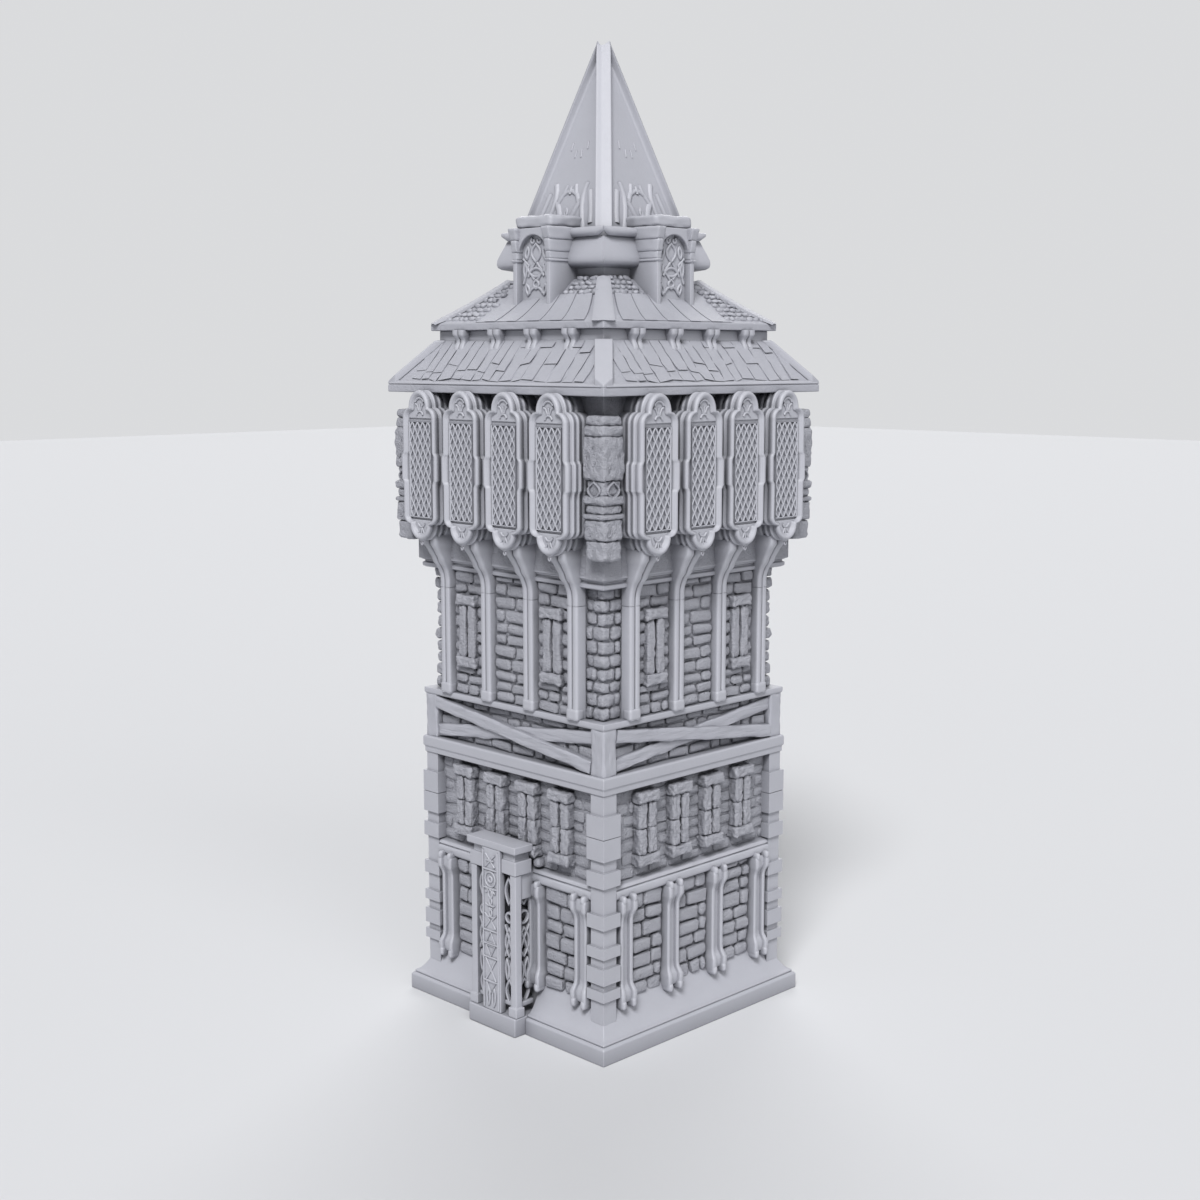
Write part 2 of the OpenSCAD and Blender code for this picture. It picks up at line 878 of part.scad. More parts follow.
module roof_brackets() {
    face = attic_out + bracket_depth;
    z_foot = z_lower_roof_top - 6;
    profile = [[attic_out, z_foot], [face, z_foot], [face, z_lower_roof_top - 1.8],
        [face - 1.3, z_lower_roof_top], [face - 0.4, z_upper_eave - 1.4], [face - 0.2, z_upper_eave],
        [attic_out, z_upper_eave]];
    color(TRIM)
        on_sides()
            along(bracket_xs)
                difference() {
                    bar(profile, bracket_w);
                    bar(concat([[0, z_eave]], LOWER_ROOF_OUT, [[0, z_lower_roof_top]]), 2 * bracket_w);
                }
}

module upper_roof() {
    drop = roof_t + 0.3;
    inside = [for (i = [len(UPPER_ROOF_CURVE) - 1 : -1 : 1])
        [UPPER_ROOF_CURVE[i][0], UPPER_ROOF_CURVE[i][1] - drop]];
    color(ROOFING)
        on_sides()
            mitred_bar(concat([[attic_in, z_upper_eave]], UPPER_ROOF_OUT, inside));
}

module upper_roof_hips() {
    color(STONE)
        difference() {
            on_sides()
                hip_board(UPPER_ROOF_CURVE);
            square_tower(UPPER_ROOF_OUT);
            square_tower(LANTERN_OUT);
            beyond_eave(upper_eave_half);
        }
}

// ---- Lantern and spire ----

module lantern() {
    inside = lantern_half - wall_t;
    color(STONE)
        difference() {
            square_tower(LANTERN_OUT);
            square_tower([[inside, z_lantern - 5], [inside, z_spire - wall_t]]);
        }
}

// Four blind dormers: two piers, a carved recess under a round arch, and a heavy cap slab.
module dormers() {
    half = dormer_w / 2;
    recess_half = half - dormer_pier_w;
    z_cap = z_spire - 0.3;
    z_spring = z_cap - 2.3 - recess_half;
    cap_t = 4;
    capital_out = 0.9;
    color(TRIM)
        on_sides()
            difference() {
                union() {
                    front_block(-half, half, spire_half, dormer_face, z_upper_roof, z_cap);
                    for (x = [-half - capital_out, half - dormer_pier_w])
                        front_block(x, x + dormer_pier_w + capital_out, lantern_half,
                            dormer_face + capital_out, z_spring - 1.6, z_cap - 2.4);
                    front_block(-half + 0.4, half - 0.4, tip_half, dormer_face - 1, z_cap, z_cap + cap_t);
                }
                front_block(-recess_half, recess_half, dormer_face - dormer_recess, FAR, 0, z_spring);
                front_plate(dormer_face - dormer_recess, FAR)
                    translate([0, z_spring])
                        circle(r = recess_half);
                square_tower(UPPER_ROOF_OUT);
                square_tower(LANTERN_OUT);
                square_tower(SPIRE_OUT);
            }
}

module spire() {
    lean = (spire_half - tip_half) / spire_h;
    hollow_h = spire_h * 0.8;
    inside = spire_half - roof_t;
    color(ROOFING)
        difference() {
            union() {
                square_tower(SPIRE_OUT);
                on_sides()
                    hip_board([[spire_half, z_spire], [tip_half, z_tip]]);
            }
            square_tower([[inside, z_spire - 1], [inside, z_spire],
                [inside - lean * hollow_h, z_spire + hollow_h]]);
        }
}

// ---- Draw ----

base_plinth();
base_batter();
porch_plinth();
porch_posts();
porch_screens();
porch_canopy();
porch_pilaster();
lower_front_wall_left();
lower_front_wall_right();
lower_front_wall_head();
lower_right_wall();
lower_back_wall();
lower_left_wall();
corner_piers();
buttresses();
string_course();
slit_storey_floor();
lower_slit_frames();
lower_belt();
brace_infill();
brace_posts();
cross_braces();
middle_floor();
middle_front_wall();
middle_right_wall();
middle_back_wall();
middle_left_wall();
wall_ribs();
middle_slit_frames();
gallery_floor();
gallery_front_wall();
gallery_right_wall();
gallery_back_wall();
gallery_left_wall();
front_oriels();
right_oriels();
back_oriels();
left_oriels();
oriel_lattices();
gallery_corner_columns();
lower_roof();
lower_roof_hips();
attic_walls();
roof_brackets();
upper_roof();
upper_roof_hips();
lantern();
dormers();
spire();
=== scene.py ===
"""Tabletop watchtower in unpainted grey resin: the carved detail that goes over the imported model.

Every piece is drawn for the front of the tower, in millimetres, as (x, out, z): x runs to the right
along the wall, out is the distance from the tower's axis and z is the height above the table.
build() then turns it to the other sides and brings it into metres.
"""

import math
import random

import bmesh
import bpy
from mathutils import Matrix, Vector, noise


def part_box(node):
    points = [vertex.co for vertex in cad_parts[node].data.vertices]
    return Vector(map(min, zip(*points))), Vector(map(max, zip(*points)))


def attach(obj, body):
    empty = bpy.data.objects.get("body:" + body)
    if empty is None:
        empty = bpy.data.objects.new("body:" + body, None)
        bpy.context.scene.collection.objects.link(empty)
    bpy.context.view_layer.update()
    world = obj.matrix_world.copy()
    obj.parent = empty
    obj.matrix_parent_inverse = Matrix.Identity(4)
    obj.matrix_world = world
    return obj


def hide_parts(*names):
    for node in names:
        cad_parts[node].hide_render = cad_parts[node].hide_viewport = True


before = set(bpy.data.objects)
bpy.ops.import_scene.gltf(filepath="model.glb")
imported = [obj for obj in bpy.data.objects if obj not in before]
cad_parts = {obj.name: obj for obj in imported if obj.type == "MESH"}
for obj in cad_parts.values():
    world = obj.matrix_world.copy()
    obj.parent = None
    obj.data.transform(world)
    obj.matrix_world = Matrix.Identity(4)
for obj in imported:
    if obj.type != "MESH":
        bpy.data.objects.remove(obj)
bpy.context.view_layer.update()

MM = 0.001
ALL_SIDES = (0, 90, 180, 270)
FRONT_ONLY = (0,)
OTHER_SIDES = (90, 180, 270)


# ---- Sizes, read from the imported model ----

def low(node):
    return [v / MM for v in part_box(node)[0]]


def high(node):
    return [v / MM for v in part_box(node)[1]]


def foot(node):
    return low(node)[2]


def top(node):
    return high(node)[2]


def reach(node):
    """How far a node stands out from the axis, towards the front."""
    return -low(node)[1]


Z_SLAB = foot("base_batter")
Z_STRING_FOOT = foot("string_course")
Z_STRING = top("string_course")
Z_BELT = foot("lower_belt")
Z_BRACE = top("lower_belt")
Z_MIDDLE_FLOOR = foot("middle_floor")
Z_MIDDLE = top("middle_floor")
Z_LEDGE = foot("gallery_floor")
Z_GALLERY = top("gallery_floor")
Z_ORIEL = foot("front_oriels")
Z_ORIEL_TOP = top("front_oriels")
Z_LATTICE = foot("oriel_lattices")
Z_LATTICE_TOP = top("oriel_lattices")
Z_EAVE = foot("lower_roof")
Z_LOWER_ROOF_TOP = top("lower_roof")
Z_UPPER_EAVE = foot("upper_roof")
Z_UPPER_ROOF_TOP = top("upper_roof")
Z_SPIRE = foot("spire")
Z_TIP = top("spire")
Z_SEAM = 150.0  # the joint across the ribs of the middle storey

WALL = reach("lower_front_wall_head")
BODY = reach("corner_piers") - 1
PIER_IN = BODY - 6
MIDDLE_WALL = reach("middle_front_wall")
GALLERY_WALL = reach("gallery_front_wall")
ORIEL_FACE = reach("front_oriels")
ATTIC_WALL = reach("attic_walls")
CORNER = 42.0  # face of the middle storey's bare corners
ROOT2 = math.sqrt(2)


def row(count, last):
    """Places of count like pieces along a side, the outermost at last."""
    return [last * (2 * i / (count - 1) - 1) for i in range(count)]


BUTTRESSES = row(4, 34.2)
BUTTRESS_W = 7.4
SLITS = row(4, 24.3)
ORIELS = row(4, 31.95)
MIDDLE_SLITS = row(2, 21.3)
BRACKETS = row(4, 27.0)
FRAME_W = 8.2
HALF_BAY = 10.65  # half the spacing of the ribs and oriels


# ---- Materials ----

def linear(hex_code):
    """The linear colour of an sRGB hex code."""
    parts = [int(hex_code[i:i + 2], 16) / 255 for i in (1, 3, 5)]
    return [c / 12.92 if c <= 0.04045 else ((c + 0.055) / 1.055) ** 2.4 for c in parts] + [1]


def add(tree, kind, settings=None, **inputs):
    """Add a node, with its settings and with its inputs as values or as (node, output) links."""
    made = tree.nodes.new(kind)
    for key, value in (settings or {}).items():
        setattr(made, key, value)
    for key, value in inputs.items():
        socket = made.inputs[int(key[1:])] if key[0] == "_" else made.inputs[key.replace("_", " ")]
        if isinstance(value, tuple) and isinstance(value[0], bpy.types.Node):
            tree.links.new(value[0].outputs[value[1]], socket)
        else:
            socket.default_value = value
    return made


def resin(name, shade, dark, patch_mm, grain_mm, grain_depth, stretch=(1, 1, 1), roughness=0.52):
    """Cast grey resin, with painted shade that darkens its colour in its crevices.

    patch_mm is the size of its faint cloudiness and grain_mm that of its tooth.
    """
    material = bpy.data.materials.new(name)
    material.use_nodes = True
    tree = material.node_tree
    tree.nodes.clear()
    place = add(tree, "ShaderNodeTexCoord")
    turned = add(tree, "ShaderNodeMapping", Vector=(place, "Object"), Scale=stretch)
    clouds = add(tree, "ShaderNodeTexNoise", Vector=(turned, "Vector"), Scale=1 / (patch_mm * MM),
                 Detail=3.0, Roughness=0.6)
    grain = add(tree, "ShaderNodeTexNoise", Vector=(turned, "Vector"), Scale=1 / (grain_mm * MM),
                Detail=4.0, Roughness=0.65)
    colour = add(tree, "ShaderNodeMix", {"data_type": "RGBA"}, _0=(clouds, "Fac"),
                 _6=linear(dark), _7=linear(shade))
    # Painted shade: in crevices, recesses and between parts, depth mixes the colour towards #3C3D44.
    painted_shade_occlusion = add(tree, "ShaderNodeAmbientOcclusion", {"samples": 6}, Distance=13 * MM)
    depth = add(tree, "ShaderNodeMapRange", Value=(painted_shade_occlusion, "AO"), From_Min=0.12, From_Max=0.8,
                To_Min=0.22, To_Max=1.0)
    colour = add(tree, "ShaderNodeMix", {"data_type": "RGBA"}, _0=(depth, "Result"),
                 _6=linear("#3C3D44"), _7=(colour, 2))
    rough = add(tree, "ShaderNodeMapRange", Value=(grain, "Fac"), To_Min=roughness - 0.06,
                To_Max=roughness + 0.06)
    bump = add(tree, "ShaderNodeBump", Height=(grain, "Fac"), Distance=grain_depth * MM, Strength=1.0)
    shader = add(tree, "ShaderNodeBsdfPrincipled", Base_Color=(colour, 2), Roughness=(rough, "Result"),
                 IOR=1.5, Normal=(bump, "Normal"))
    add(tree, "ShaderNodeOutputMaterial", Surface=(shader, "BSDF"))
    return material


# Smooth castings: a satin grey with a barely visible tooth.
SMOOTH = resin("smooth_cast_resin", "#AEAFB7", "#A8A9B1", 9, 1.2, 0.05)
# Sculpted stones: the same resin, pitted like weathered rock.
STONE = resin("pitted_stone_resin", "#ACADB5", "#9D9EA7", 2.5, 0.75, 0.9, roughness=0.58)
# Carved frames and mouldings: crisp, a touch lighter.
CARVED = resin("carved_resin", "#B2B3BB", "#ACADB5", 7, 1.5, 0.06)
# Timbers: grain lines that run along the wall.
TIMBER = resin("timber_grain_resin", "#ACADB5", "#A3A4AD", 4, 1.0, 0.4, stretch=(0.14, 0.14, 1))
# Upright posts: grain lines that run up the post.
POST = resin("post_grain_resin", "#ACADB5", "#A4A5AE", 4, 1.0, 0.3, stretch=(1, 1, 0.2))
# Roof stones and shingles: shallow, uneven relief.
ROOF = resin("roof_stone_resin", "#ADAEB6", "#A3A4AD", 5, 1.1, 0.3, roughness=0.56)


# ---- Shapes ----

WELD = 0.003
ROLL_STEPS = 8
ROLL_RISE = 0.8


def at(x, out, z):
    return Vector((x, -out, z))


def skin(bm, across, along, place):
    """A sheet of across by along faces whose points lie at place(u, v), u and v from 0 to 1."""
    made = bmesh.ops.create_grid(bm, x_segments=across, y_segments=along, size=1)["verts"]
    for vert in made:
        vert.co = place(vert.co.x / 2 + 0.5, vert.co.y / 2 + 0.5)
    return made


def tube(bm, around, along, place):
    """A skin that closes round on itself, with its two ends filled."""
    made = skin(bm, around, along, place)
    bmesh.ops.remove_doubles(bm, verts=made, dist=WELD)
    rims = dict.fromkeys(edge for vert in made if vert.is_valid for edge in vert.link_edges
                         if edge.is_boundary)
    bmesh.ops.holes_fill(bm, edges=list(rims), sides=0)


def tube_along(bm, along, around, place):
    """A tube whose length is u and whose way round is v."""
    tube(bm, around, along, lambda u, v: place(v, u))


def sweep(bm, places, section, stations):
    """A closed section carried past stations, once at each of the places along the wall.

    section(*station) gives the points (x, out, z) at that station, with x from the place.
    """
    levels = [section(*station) for station in stations]
    count, last = len(levels[0]), len(levels) - 1
    for middle in places:
        def place(u, v, middle=middle):
            x, out, z = levels[round(v * last)][round(u * count) % count]
            return at(middle + x, out, z)
        tube(bm, count, last, place)


def two_rolls(z, half, back, centre, radius, crest, power, valley, squeeze=1.0):
    """A section with a flat back and two rolls on its face, with valley's (x, out) between them."""
    points = [(-half, back)]
    for middle in (-centre, centre):
        for i in range(ROLL_STEPS + 1):
            angle = math.pi * (1 - i / ROLL_STEPS)
            points.append((middle + radius * squeeze * math.cos(angle),
                           crest + radius * ROLL_RISE * math.sin(angle) ** power))
        if middle < 0:
            points += valley
    return [(x, out, z) for x, out in points + [(half, back)]]


BLOCKS = {}


def lump(bm, lower, upper, soft=0.9, rough=0.12, grain=2.2, cuts=2, tilt=0.0, finish=None):
    """A worn block between two corners (x, out, z), with rounded edges and an uneven skin.

    finish(point) may bend the shape: it gets each point and returns where it goes.
    """
    if cuts not in BLOCKS:
        start = bmesh.new()
        bmesh.ops.create_cube(start, size=2)
        bmesh.ops.subdivide_edges(start, edges=start.edges[:], cuts=cuts, use_grid_fill=True)
        BLOCKS[cuts] = bpy.data.meshes.new("block")
        start.to_mesh(BLOCKS[cuts])
        start.free()
    block = BLOCKS[cuts].copy()
    centre = (at(*lower) + at(*upper)) / 2
    half = [abs(v) for v in (at(*upper) - at(*lower)) / 2]
    radius = [min(soft, h * 0.8) for h in half]
    turn = Matrix.Rotation(tilt, 3, "Y")
    for vert in block.vertices:
        core, rest = Vector(), Vector()
        for i in range(3):
            t = vert.co[i]
            if cuts == 2 and abs(t) < 0.5:
                t = math.copysign(1 - radius[i] / half[i], t)
            inner = half[i] - radius[i]
            core[i] = max(-inner, min(inner, t * half[i]))
            rest[i] = (t * half[i] - core[i]) / radius[i]
        away = rest.normalized()
        swell = rough * noise.noise((centre + core) / grain + away)
        shape = Vector([core[i] + away[i] * (radius[i] + swell) for i in range(3)])
        point = centre + turn @ shape
        vert.co = finish(point) if finish else point
    bm.from_mesh(block)
    bpy.data.meshes.remove(block)


def box(x0, x1, z0, z1):
    """The outline of an upright rectangle."""
    return [(x0, z0), (x1, z0), (x1, z1), (x0, z1)]


def plate(bm, outline, back, face, soft=0.0, segments=2):
    """A flat piece with an (x, z) outline, from one distance out to another, with a softened face."""
    verts = [bm.verts.new(at(x, back, z)) for x, z in outline]
    flat = bm.faces.new(verts)
    made = bmesh.ops.extrude_face_region(bm, geom=[flat])["geom"]
    moved = [g for g in made if isinstance(g, bmesh.types.BMVert)]
    bmesh.ops.translate(bm, verts=moved, vec=at(0, face - back, 0))
    if soft:
        front = [g for g in made if isinstance(g, bmesh.types.BMFace)]
        bevel(bm, list(front[0].edges), soft, segments)


def bevel(bm, edges, width, segments=2):
    bmesh.ops.bevel(bm, geom=edges, offset=width, offset_type="OFFSET", segments=segments, profile=0.5,
                    affect="EDGES", clamp_overlap=True, material=-1)


def ring(bm, profile):
    """A course that runs round the tower, mitred at its corners. profile is closed, as (out, z)."""
    verts = [bm.verts.new((-out, -out, z)) for out, z in profile]
    edges = [bm.edges.new(pair) for pair in zip(verts, verts[1:] + verts[:1])]
    bmesh.ops.spin(bm, geom=verts + edges, cent=(0, 0, 0), axis=(0, 0, 1), angle=math.tau, steps=4,
                   use_merge=True)


def bead(bm, path, width, back, face, closed=False, surface=at):
    """A raised strip with a rounded top along path, whose points are (x, z) on the given surface."""
    half = width / 2
    section = [(-half, back), (-half, face - half * 0.8), (-half * 0.6, face - half * 0.2), (0, face),
               (half * 0.6, face - half * 0.2), (half, face - half * 0.8), (half, back)]
    points = list(path) + [path[0]] if closed else list(path)
    last = len(points) - 1

    def place(u, v):
        i = round(v * last)
        before = points[i - 1] if i else (points[-2] if closed else points[0])
        after = points[i + 1] if i < last else (points[1] if closed else points[-1])
        length = math.dist(before, after) or 1
        along = ((after[0] - before[0]) / length, (after[1] - before[1]) / length)
        across, out = section[round(u * len(section)) % len(section)]
        return surface(points[i][0] - along[1] * across, out, points[i][1] + along[0] * across)
    tube(bm, len(section), last, place)


def arc(x, z, radius, start, end, steps=10, squash=1.0):
    """Points along an arc from start to end, in degrees. squash narrows it across."""
    turns = [math.radians(start + (end - start) * i / steps) for i in range(steps + 1)]
    return [(x + radius * squash * math.cos(t), z + radius * math.sin(t)) for t in turns]


def leaf(x, z, half, tall, lean=0.0, steps=10):
    """A pointed loop that stands on (x, z) and leans sideways by lean."""
    right = [(math.sin(math.pi * i / steps) * half, tall * i / steps) for i in range(steps + 1)]
    loop = right + [(-a, b) for a, b in reversed(right[1:-1])]
    return [(x + a + lean * (b / tall) ** 2, z + b) for a, b in loop]


def slope(out0, z0, out1, z1):
    """A surface that leans from out0 at z0 to out1 at z1. Its out is how far a point stands proud."""
    return lambda x, proud, z: at(x, out0 + (out1 - out0) * (z - z0) / (z1 - z0) + proud, z)


def linked(name, data):
    """An object made from data and put in the scene."""
    item = bpy.data.objects.new(name, data)
    bpy.context.scene.collection.objects.link(item)
    return item


def build(name, bm, material, sides=ALL_SIDES, replaces=(), seam_angle=50):
    """Turn a front piece to the given sides, bring it into metres and attach it to the root body."""
    bmesh.ops.recalc_face_normals(bm, faces=bm.faces[:])
    one = bpy.data.meshes.new(name)
    bm.to_mesh(one)
    bm.free()
    whole = bmesh.new()
    for turn in sides:
        whole.from_mesh(one)
        whole.verts.ensure_lookup_table()
        bmesh.ops.rotate(whole, verts=whole.verts[-len(one.vertices):], cent=(0, 0, 0),
                         matrix=Matrix.Rotation(math.radians(turn), 3, "Z"))
    bmesh.ops.scale(whole, verts=whole.verts[:], vec=(MM, MM, MM))
    for face in whole.faces:
        face.smooth = True
    mesh = bpy.data.meshes.new(name)
    whole.to_mesh(mesh)
    whole.free()
    bpy.data.meshes.remove(one)
    mesh.set_sharp_from_angle(angle=math.radians(seam_angle))
    mesh.materials.append(material)
    piece = linked(name, mesh)
    weighted = piece.modifiers.new("even_shading", "WEIGHTED_NORMAL")
    weighted.keep_sharp = True
    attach(piece, "root")
    if replaces:
        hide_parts(*replaces)


def softened(node, material, width=0.5, mitred=False, segments=2):
    """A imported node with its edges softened. Where it is mitred, its corner joints are closed."""
    bm = bmesh.new()
    bm.from_mesh(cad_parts[node].data)
    bmesh.ops.scale(bm, verts=bm.verts[:], vec=(1 / MM, 1 / MM, 1 / MM))
    bmesh.ops.remove_doubles(bm, verts=bm.verts[:], dist=WELD)
    if mitred:
        near = [v for v in bm.verts if abs(abs(v.co.x) - abs(v.co.y)) < 0.25]
        for vert in near:
            far = max(abs(vert.co.x), abs(vert.co.y))
            vert.co.x = math.copysign(far, vert.co.x)
            vert.co.y = math.copysign(far, vert.co.y)
        bmesh.ops.remove_doubles(bm, verts=bm.verts[:], dist=WELD)
        hidden = [f for f in bm.faces
                  if all(abs(abs(v.co.x) - abs(v.co.y)) < WELD for v in f.verts)
                  and len({(v.co.x > 0, v.co.y > 0) for v in f.verts}) == 1]
        bmesh.ops.delete(bm, geom=hidden, context="FACES")
    bmesh.ops.dissolve_limit(bm, angle_limit=math.radians(1), verts=bm.verts[:], edges=bm.edges[:])
    sharp = [e for e in bm.edges if len(e.link_faces) == 2 and e.calc_face_angle() > math.radians(20)]
    bevel(bm, sharp, width, segments)
    build(node + "_cast", bm, material, FRONT_ONLY, (node,))


# ---- Lower tower ----

def lay_stones(bm, draw, x0, x1, z0, z1, wall, proud, gaps=(), tall=1.0):
    """Lay rough courses over a stretch of wall, with no stone inside the gaps (x0, x1, z0, z1).

    proud is how far the stones stand out, and tall scales the height of a course.
    """
    joint, margin = 0.3, 0.6
    z = z0
    while z < z1 - 0.5:
        height = tall * draw.uniform(3.5, 4.7)
        if z1 - z - height < 1.8:
            height = z1 - z
        x = x0
        while x < x1 - 0.5:
            length = draw.uniform(4.6, 11.5)
            if x1 - x - length < 3:
                length = x1 - x
            hidden = any(a - margin < x and x + length < b + margin
                         and c - margin < z and z + height < d + margin for a, b, c, d in gaps)
            if not hidden:
                face = wall + proud * draw.uniform(0.65, 1)
                lump(bm, (x + joint, wall - 1, z + joint),
                     (x + length - joint, face, z + height - joint), soft=draw.uniform(0.9, 1.4),
                     rough=0.5, grain=1.6, tilt=draw.uniform(-0.05, 0.05))
            x += length
        z += height


def lower_stones(draw, gaps):
    bm = bmesh.new()
    edge = BUTTRESS_W / 2 + 0.2
    for left, right in zip(BUTTRESSES, BUTTRESSES[1:]):
        lay_stones(bm, draw, left + edge, right - edge, Z_SLAB + 10.5, Z_STRING_FOOT + 0.4, WALL, 2.2,
                   gaps, 1.25)
    return bm


def slit_stones(draw):
    """Flat stones between the slit frames, then above and below each frame."""
    bm = bmesh.new()
    z0, z1 = foot("lower_slit_frames"), top("lower_slit_frames")
    behind = FRAME_W / 2 - 0.8
    edges = [-PIER_IN] + [x + d for x in SLITS for d in (-behind, behind)] + [PIER_IN]
    for left, right in zip(edges[::2], edges[1::2]):
        lay_stones(bm, draw, left, right, Z_STRING, Z_BELT, WALL, 0.7)
    for left, right in zip(edges[1::2], edges[2::2]):
        lay_stones(bm, draw, left, right, Z_STRING, z0 + 0.5, WALL, 0.7)
        lay_stones(bm, draw, left, right, z1 - 0.5, Z_BELT, WALL, 0.7)
    build("slit_storey_stones", bm, STONE)


def buttress_section(z, face, spread, fullness):
    """Two round ribs with a channel between them, on a back that meets the wall."""
    half, roll = BUTTRESS_W / 2 * spread, 0.76 * fullness
    middle = half - roll
    channel = middle - roll - 0.1
    return two_rolls(z, half, WALL - 0.5, middle, roll, face - roll, 0.5,
                     [(-channel, face - 1.5), (channel, face - 1.5)])


def buttresses():
    bm = bmesh.new()
    z_foot, z_head = Z_SLAB + 10.6, Z_STRING - 6.2
    shaft, flared = BODY + 0.5, BODY + 2.0
    stations = [
        (z_foot, flared - 0.4, 0.96, 1.25), (z_foot + 1.2, flared, 1.0, 1.35),
        (z_foot + 3.6, flared + 0.1, 1.0, 1.35), (z_foot + 4.6, flared - 0.5, 0.92, 1.2),
        (z_foot + 6, shaft + 0.2, 0.83, 1.05), (z_foot + 7.5, shaft, 0.8, 1.0),
        (z_head - 6.5, shaft, 0.8, 1.0), (z_head - 5, shaft + 0.4, 0.84, 1.05),
        (z_head - 3.8, flared - 0.4, 0.92, 1.2), (z_head - 2.8, flared + 0.1, 1.0, 1.35),
        (z_head - 0.4, flared + 0.1, 1.0, 1.35), (z_head + 0.6, flared - 0.3, 0.96, 1.25),
    ]
    sweep(bm, BUTTRESSES, buttress_section, stations)
    for x in BUTTRESSES:
        for toe in (x - 2.4, x + 2.4):
            for half, z0, face, z1, soft in ((1.05, z_foot - 2.0, flared, z_foot + 1.4, 1.2),
                                             (0.95, z_head - 0.5, flared + 0.1, z_head + 2.4, 1.15)):
                lump(bm, (toe - half, WALL, z0), (toe + half, face, z1), soft=soft, cuts=6)
    build("buttress_ribs", bm, CARVED, replaces=("buttresses",))


def string_mouldings():
    """The worn string course: a heavy band, a groove and a cap, uneven along its length."""
    bm = bmesh.new()
    f, z0, z1 = BODY, Z_STRING_FOOT, Z_STRING
    profile = [(WALL - 1, z0), (f - 1.6, z0), (f - 0.5, z0 + 0.35), (f, z0 + 1.1), (f, z0 + 2.7),
               (f - 0.3, z0 + 3.2), (f - 0.8, z0 + 3.35), (f - 0.75, z0 + 3.7), (f - 0.35, z0 + 3.9),
               (f - 0.45, z0 + 4.7), (f - 1.0, z1 - 0.3), (WALL - 1, z1)]

    def place(u, v):
        out, z = profile[round(v * len(profile)) % len(profile)]
        x = PIER_IN * (2 * u - 1)
        wear = noise.noise(Vector((x / 6, out / 3, z / 2.5)))
        return at(x, out + 0.3 * wear if out > WALL else out, z + (0.16 * wear if out > WALL else 0))
    tube_along(bm, 48, len(profile), place)
    build("string_mouldings", bm, CARVED, replaces=("string_course",), seam_angle=60)


def slit_frames(name, node, xs, wall, jamb_parts, draw):
    """Stone frames round the slits: a flared lintel and sill, and jambs of rough stones."""
    bm = bmesh.new()
    z0, z1, face = foot(node), top(node), reach(node) + 0.5
    half = FRAME_W / 2
    end_h, wide = 4.2, half + 0.8
    for x in xs:
        for low_z in (z0, z1 - end_h):
            middle = low_z + end_h / 2

            def flared(point, x=x, middle=middle):
                flare = abs(point.x - x) / wide
                return Vector((point.x, point.y + 0.35 * (1 - flare ** 2),
                               middle + (point.z - middle) * (0.84 + 0.2 * flare ** 3)))
            lump(bm, (x - wide, wall - 0.5, low_z), (x + wide, face + 0.3, low_z + end_h),
                 soft=1.0, rough=0.45, grain=1.5, cuts=12, finish=flared)
        edges = [z0 + end_h - 0.3 + (z1 - z0 - 2 * end_h + 0.6) * i / jamb_parts
                 for i in range(jamb_parts + 1)]
        for side in (-1, 1):
            for a, b in zip(edges, edges[1:]):
                inner, outer = x + side * 0.5, x + side * (half + 0.1)
                lump(bm, (min(inner, outer), wall - 0.5, a - 0.05),
                     (max(inner, outer), face - 0.6 + draw.uniform(-0.15, 0.15), b + 0.05),
                     soft=0.95, rough=0.5, grain=1.4, cuts=12)
    build(name, bm, STONE, replaces=(node,))


# ---- Braced band ----

def brace_stones(draw):
    bm = bmesh.new()
    lay_stones(bm, draw, -PIER_IN, PIER_IN, Z_BRACE, Z_MIDDLE_FLOOR, WALL, 1.3)
    build("brace_band_stones", bm, STONE)


def beam(bm, start, end, width, back, face, seed):
    """A worn timber from start to end, both (x, z), with hewn edges."""
    length = math.dist(start, end)
    along = ((end[0] - start[0]) / length, (end[1] - start[1]) / length)
    half = width / 2
    section = [(-half, back), (-half, face - 0.5), (-half + 0.45, face - 0.05), (-half * 0.35, face),
               (0, face - 0.15), (half * 0.4, face), (half - 0.45, face - 0.05), (half, face - 0.5),
               (half, back)]
    steps = max(6, round(length / 2.2))

    def place(u, v):
        across, out = section[round(v * len(section)) % len(section)]
        run = u * length
        wear = noise.noise(Vector((run / 7, across * 1.3 + seed * 9, out / 4)))
        across *= 1 + 0.12 * wear
        return at(start[0] + along[0] * run - along[1] * across,
                  out + (0.35 * wear if out > back else 0),
                  start[1] + along[1] * run + along[0] * across)
    tube_along(bm, steps, len(section), place)


def cross_braces():
    bm = bmesh.new()
    z0, z1 = Z_BRACE, Z_MIDDLE_FLOOR
    beam(bm, (-PIER_IN, z0 + 2.6), (PIER_IN, z1 - 2.9), 4.6, WALL - 0.5, WALL + 2.2, 1)
    beam(bm, (-PIER_IN, z1 - 2.4), (PIER_IN, z0 + 2.4), 4.4, WALL - 0.5, WALL + 3.4, 2)
    build("brace_timbers", bm, TIMBER, replaces=("cross_braces",))


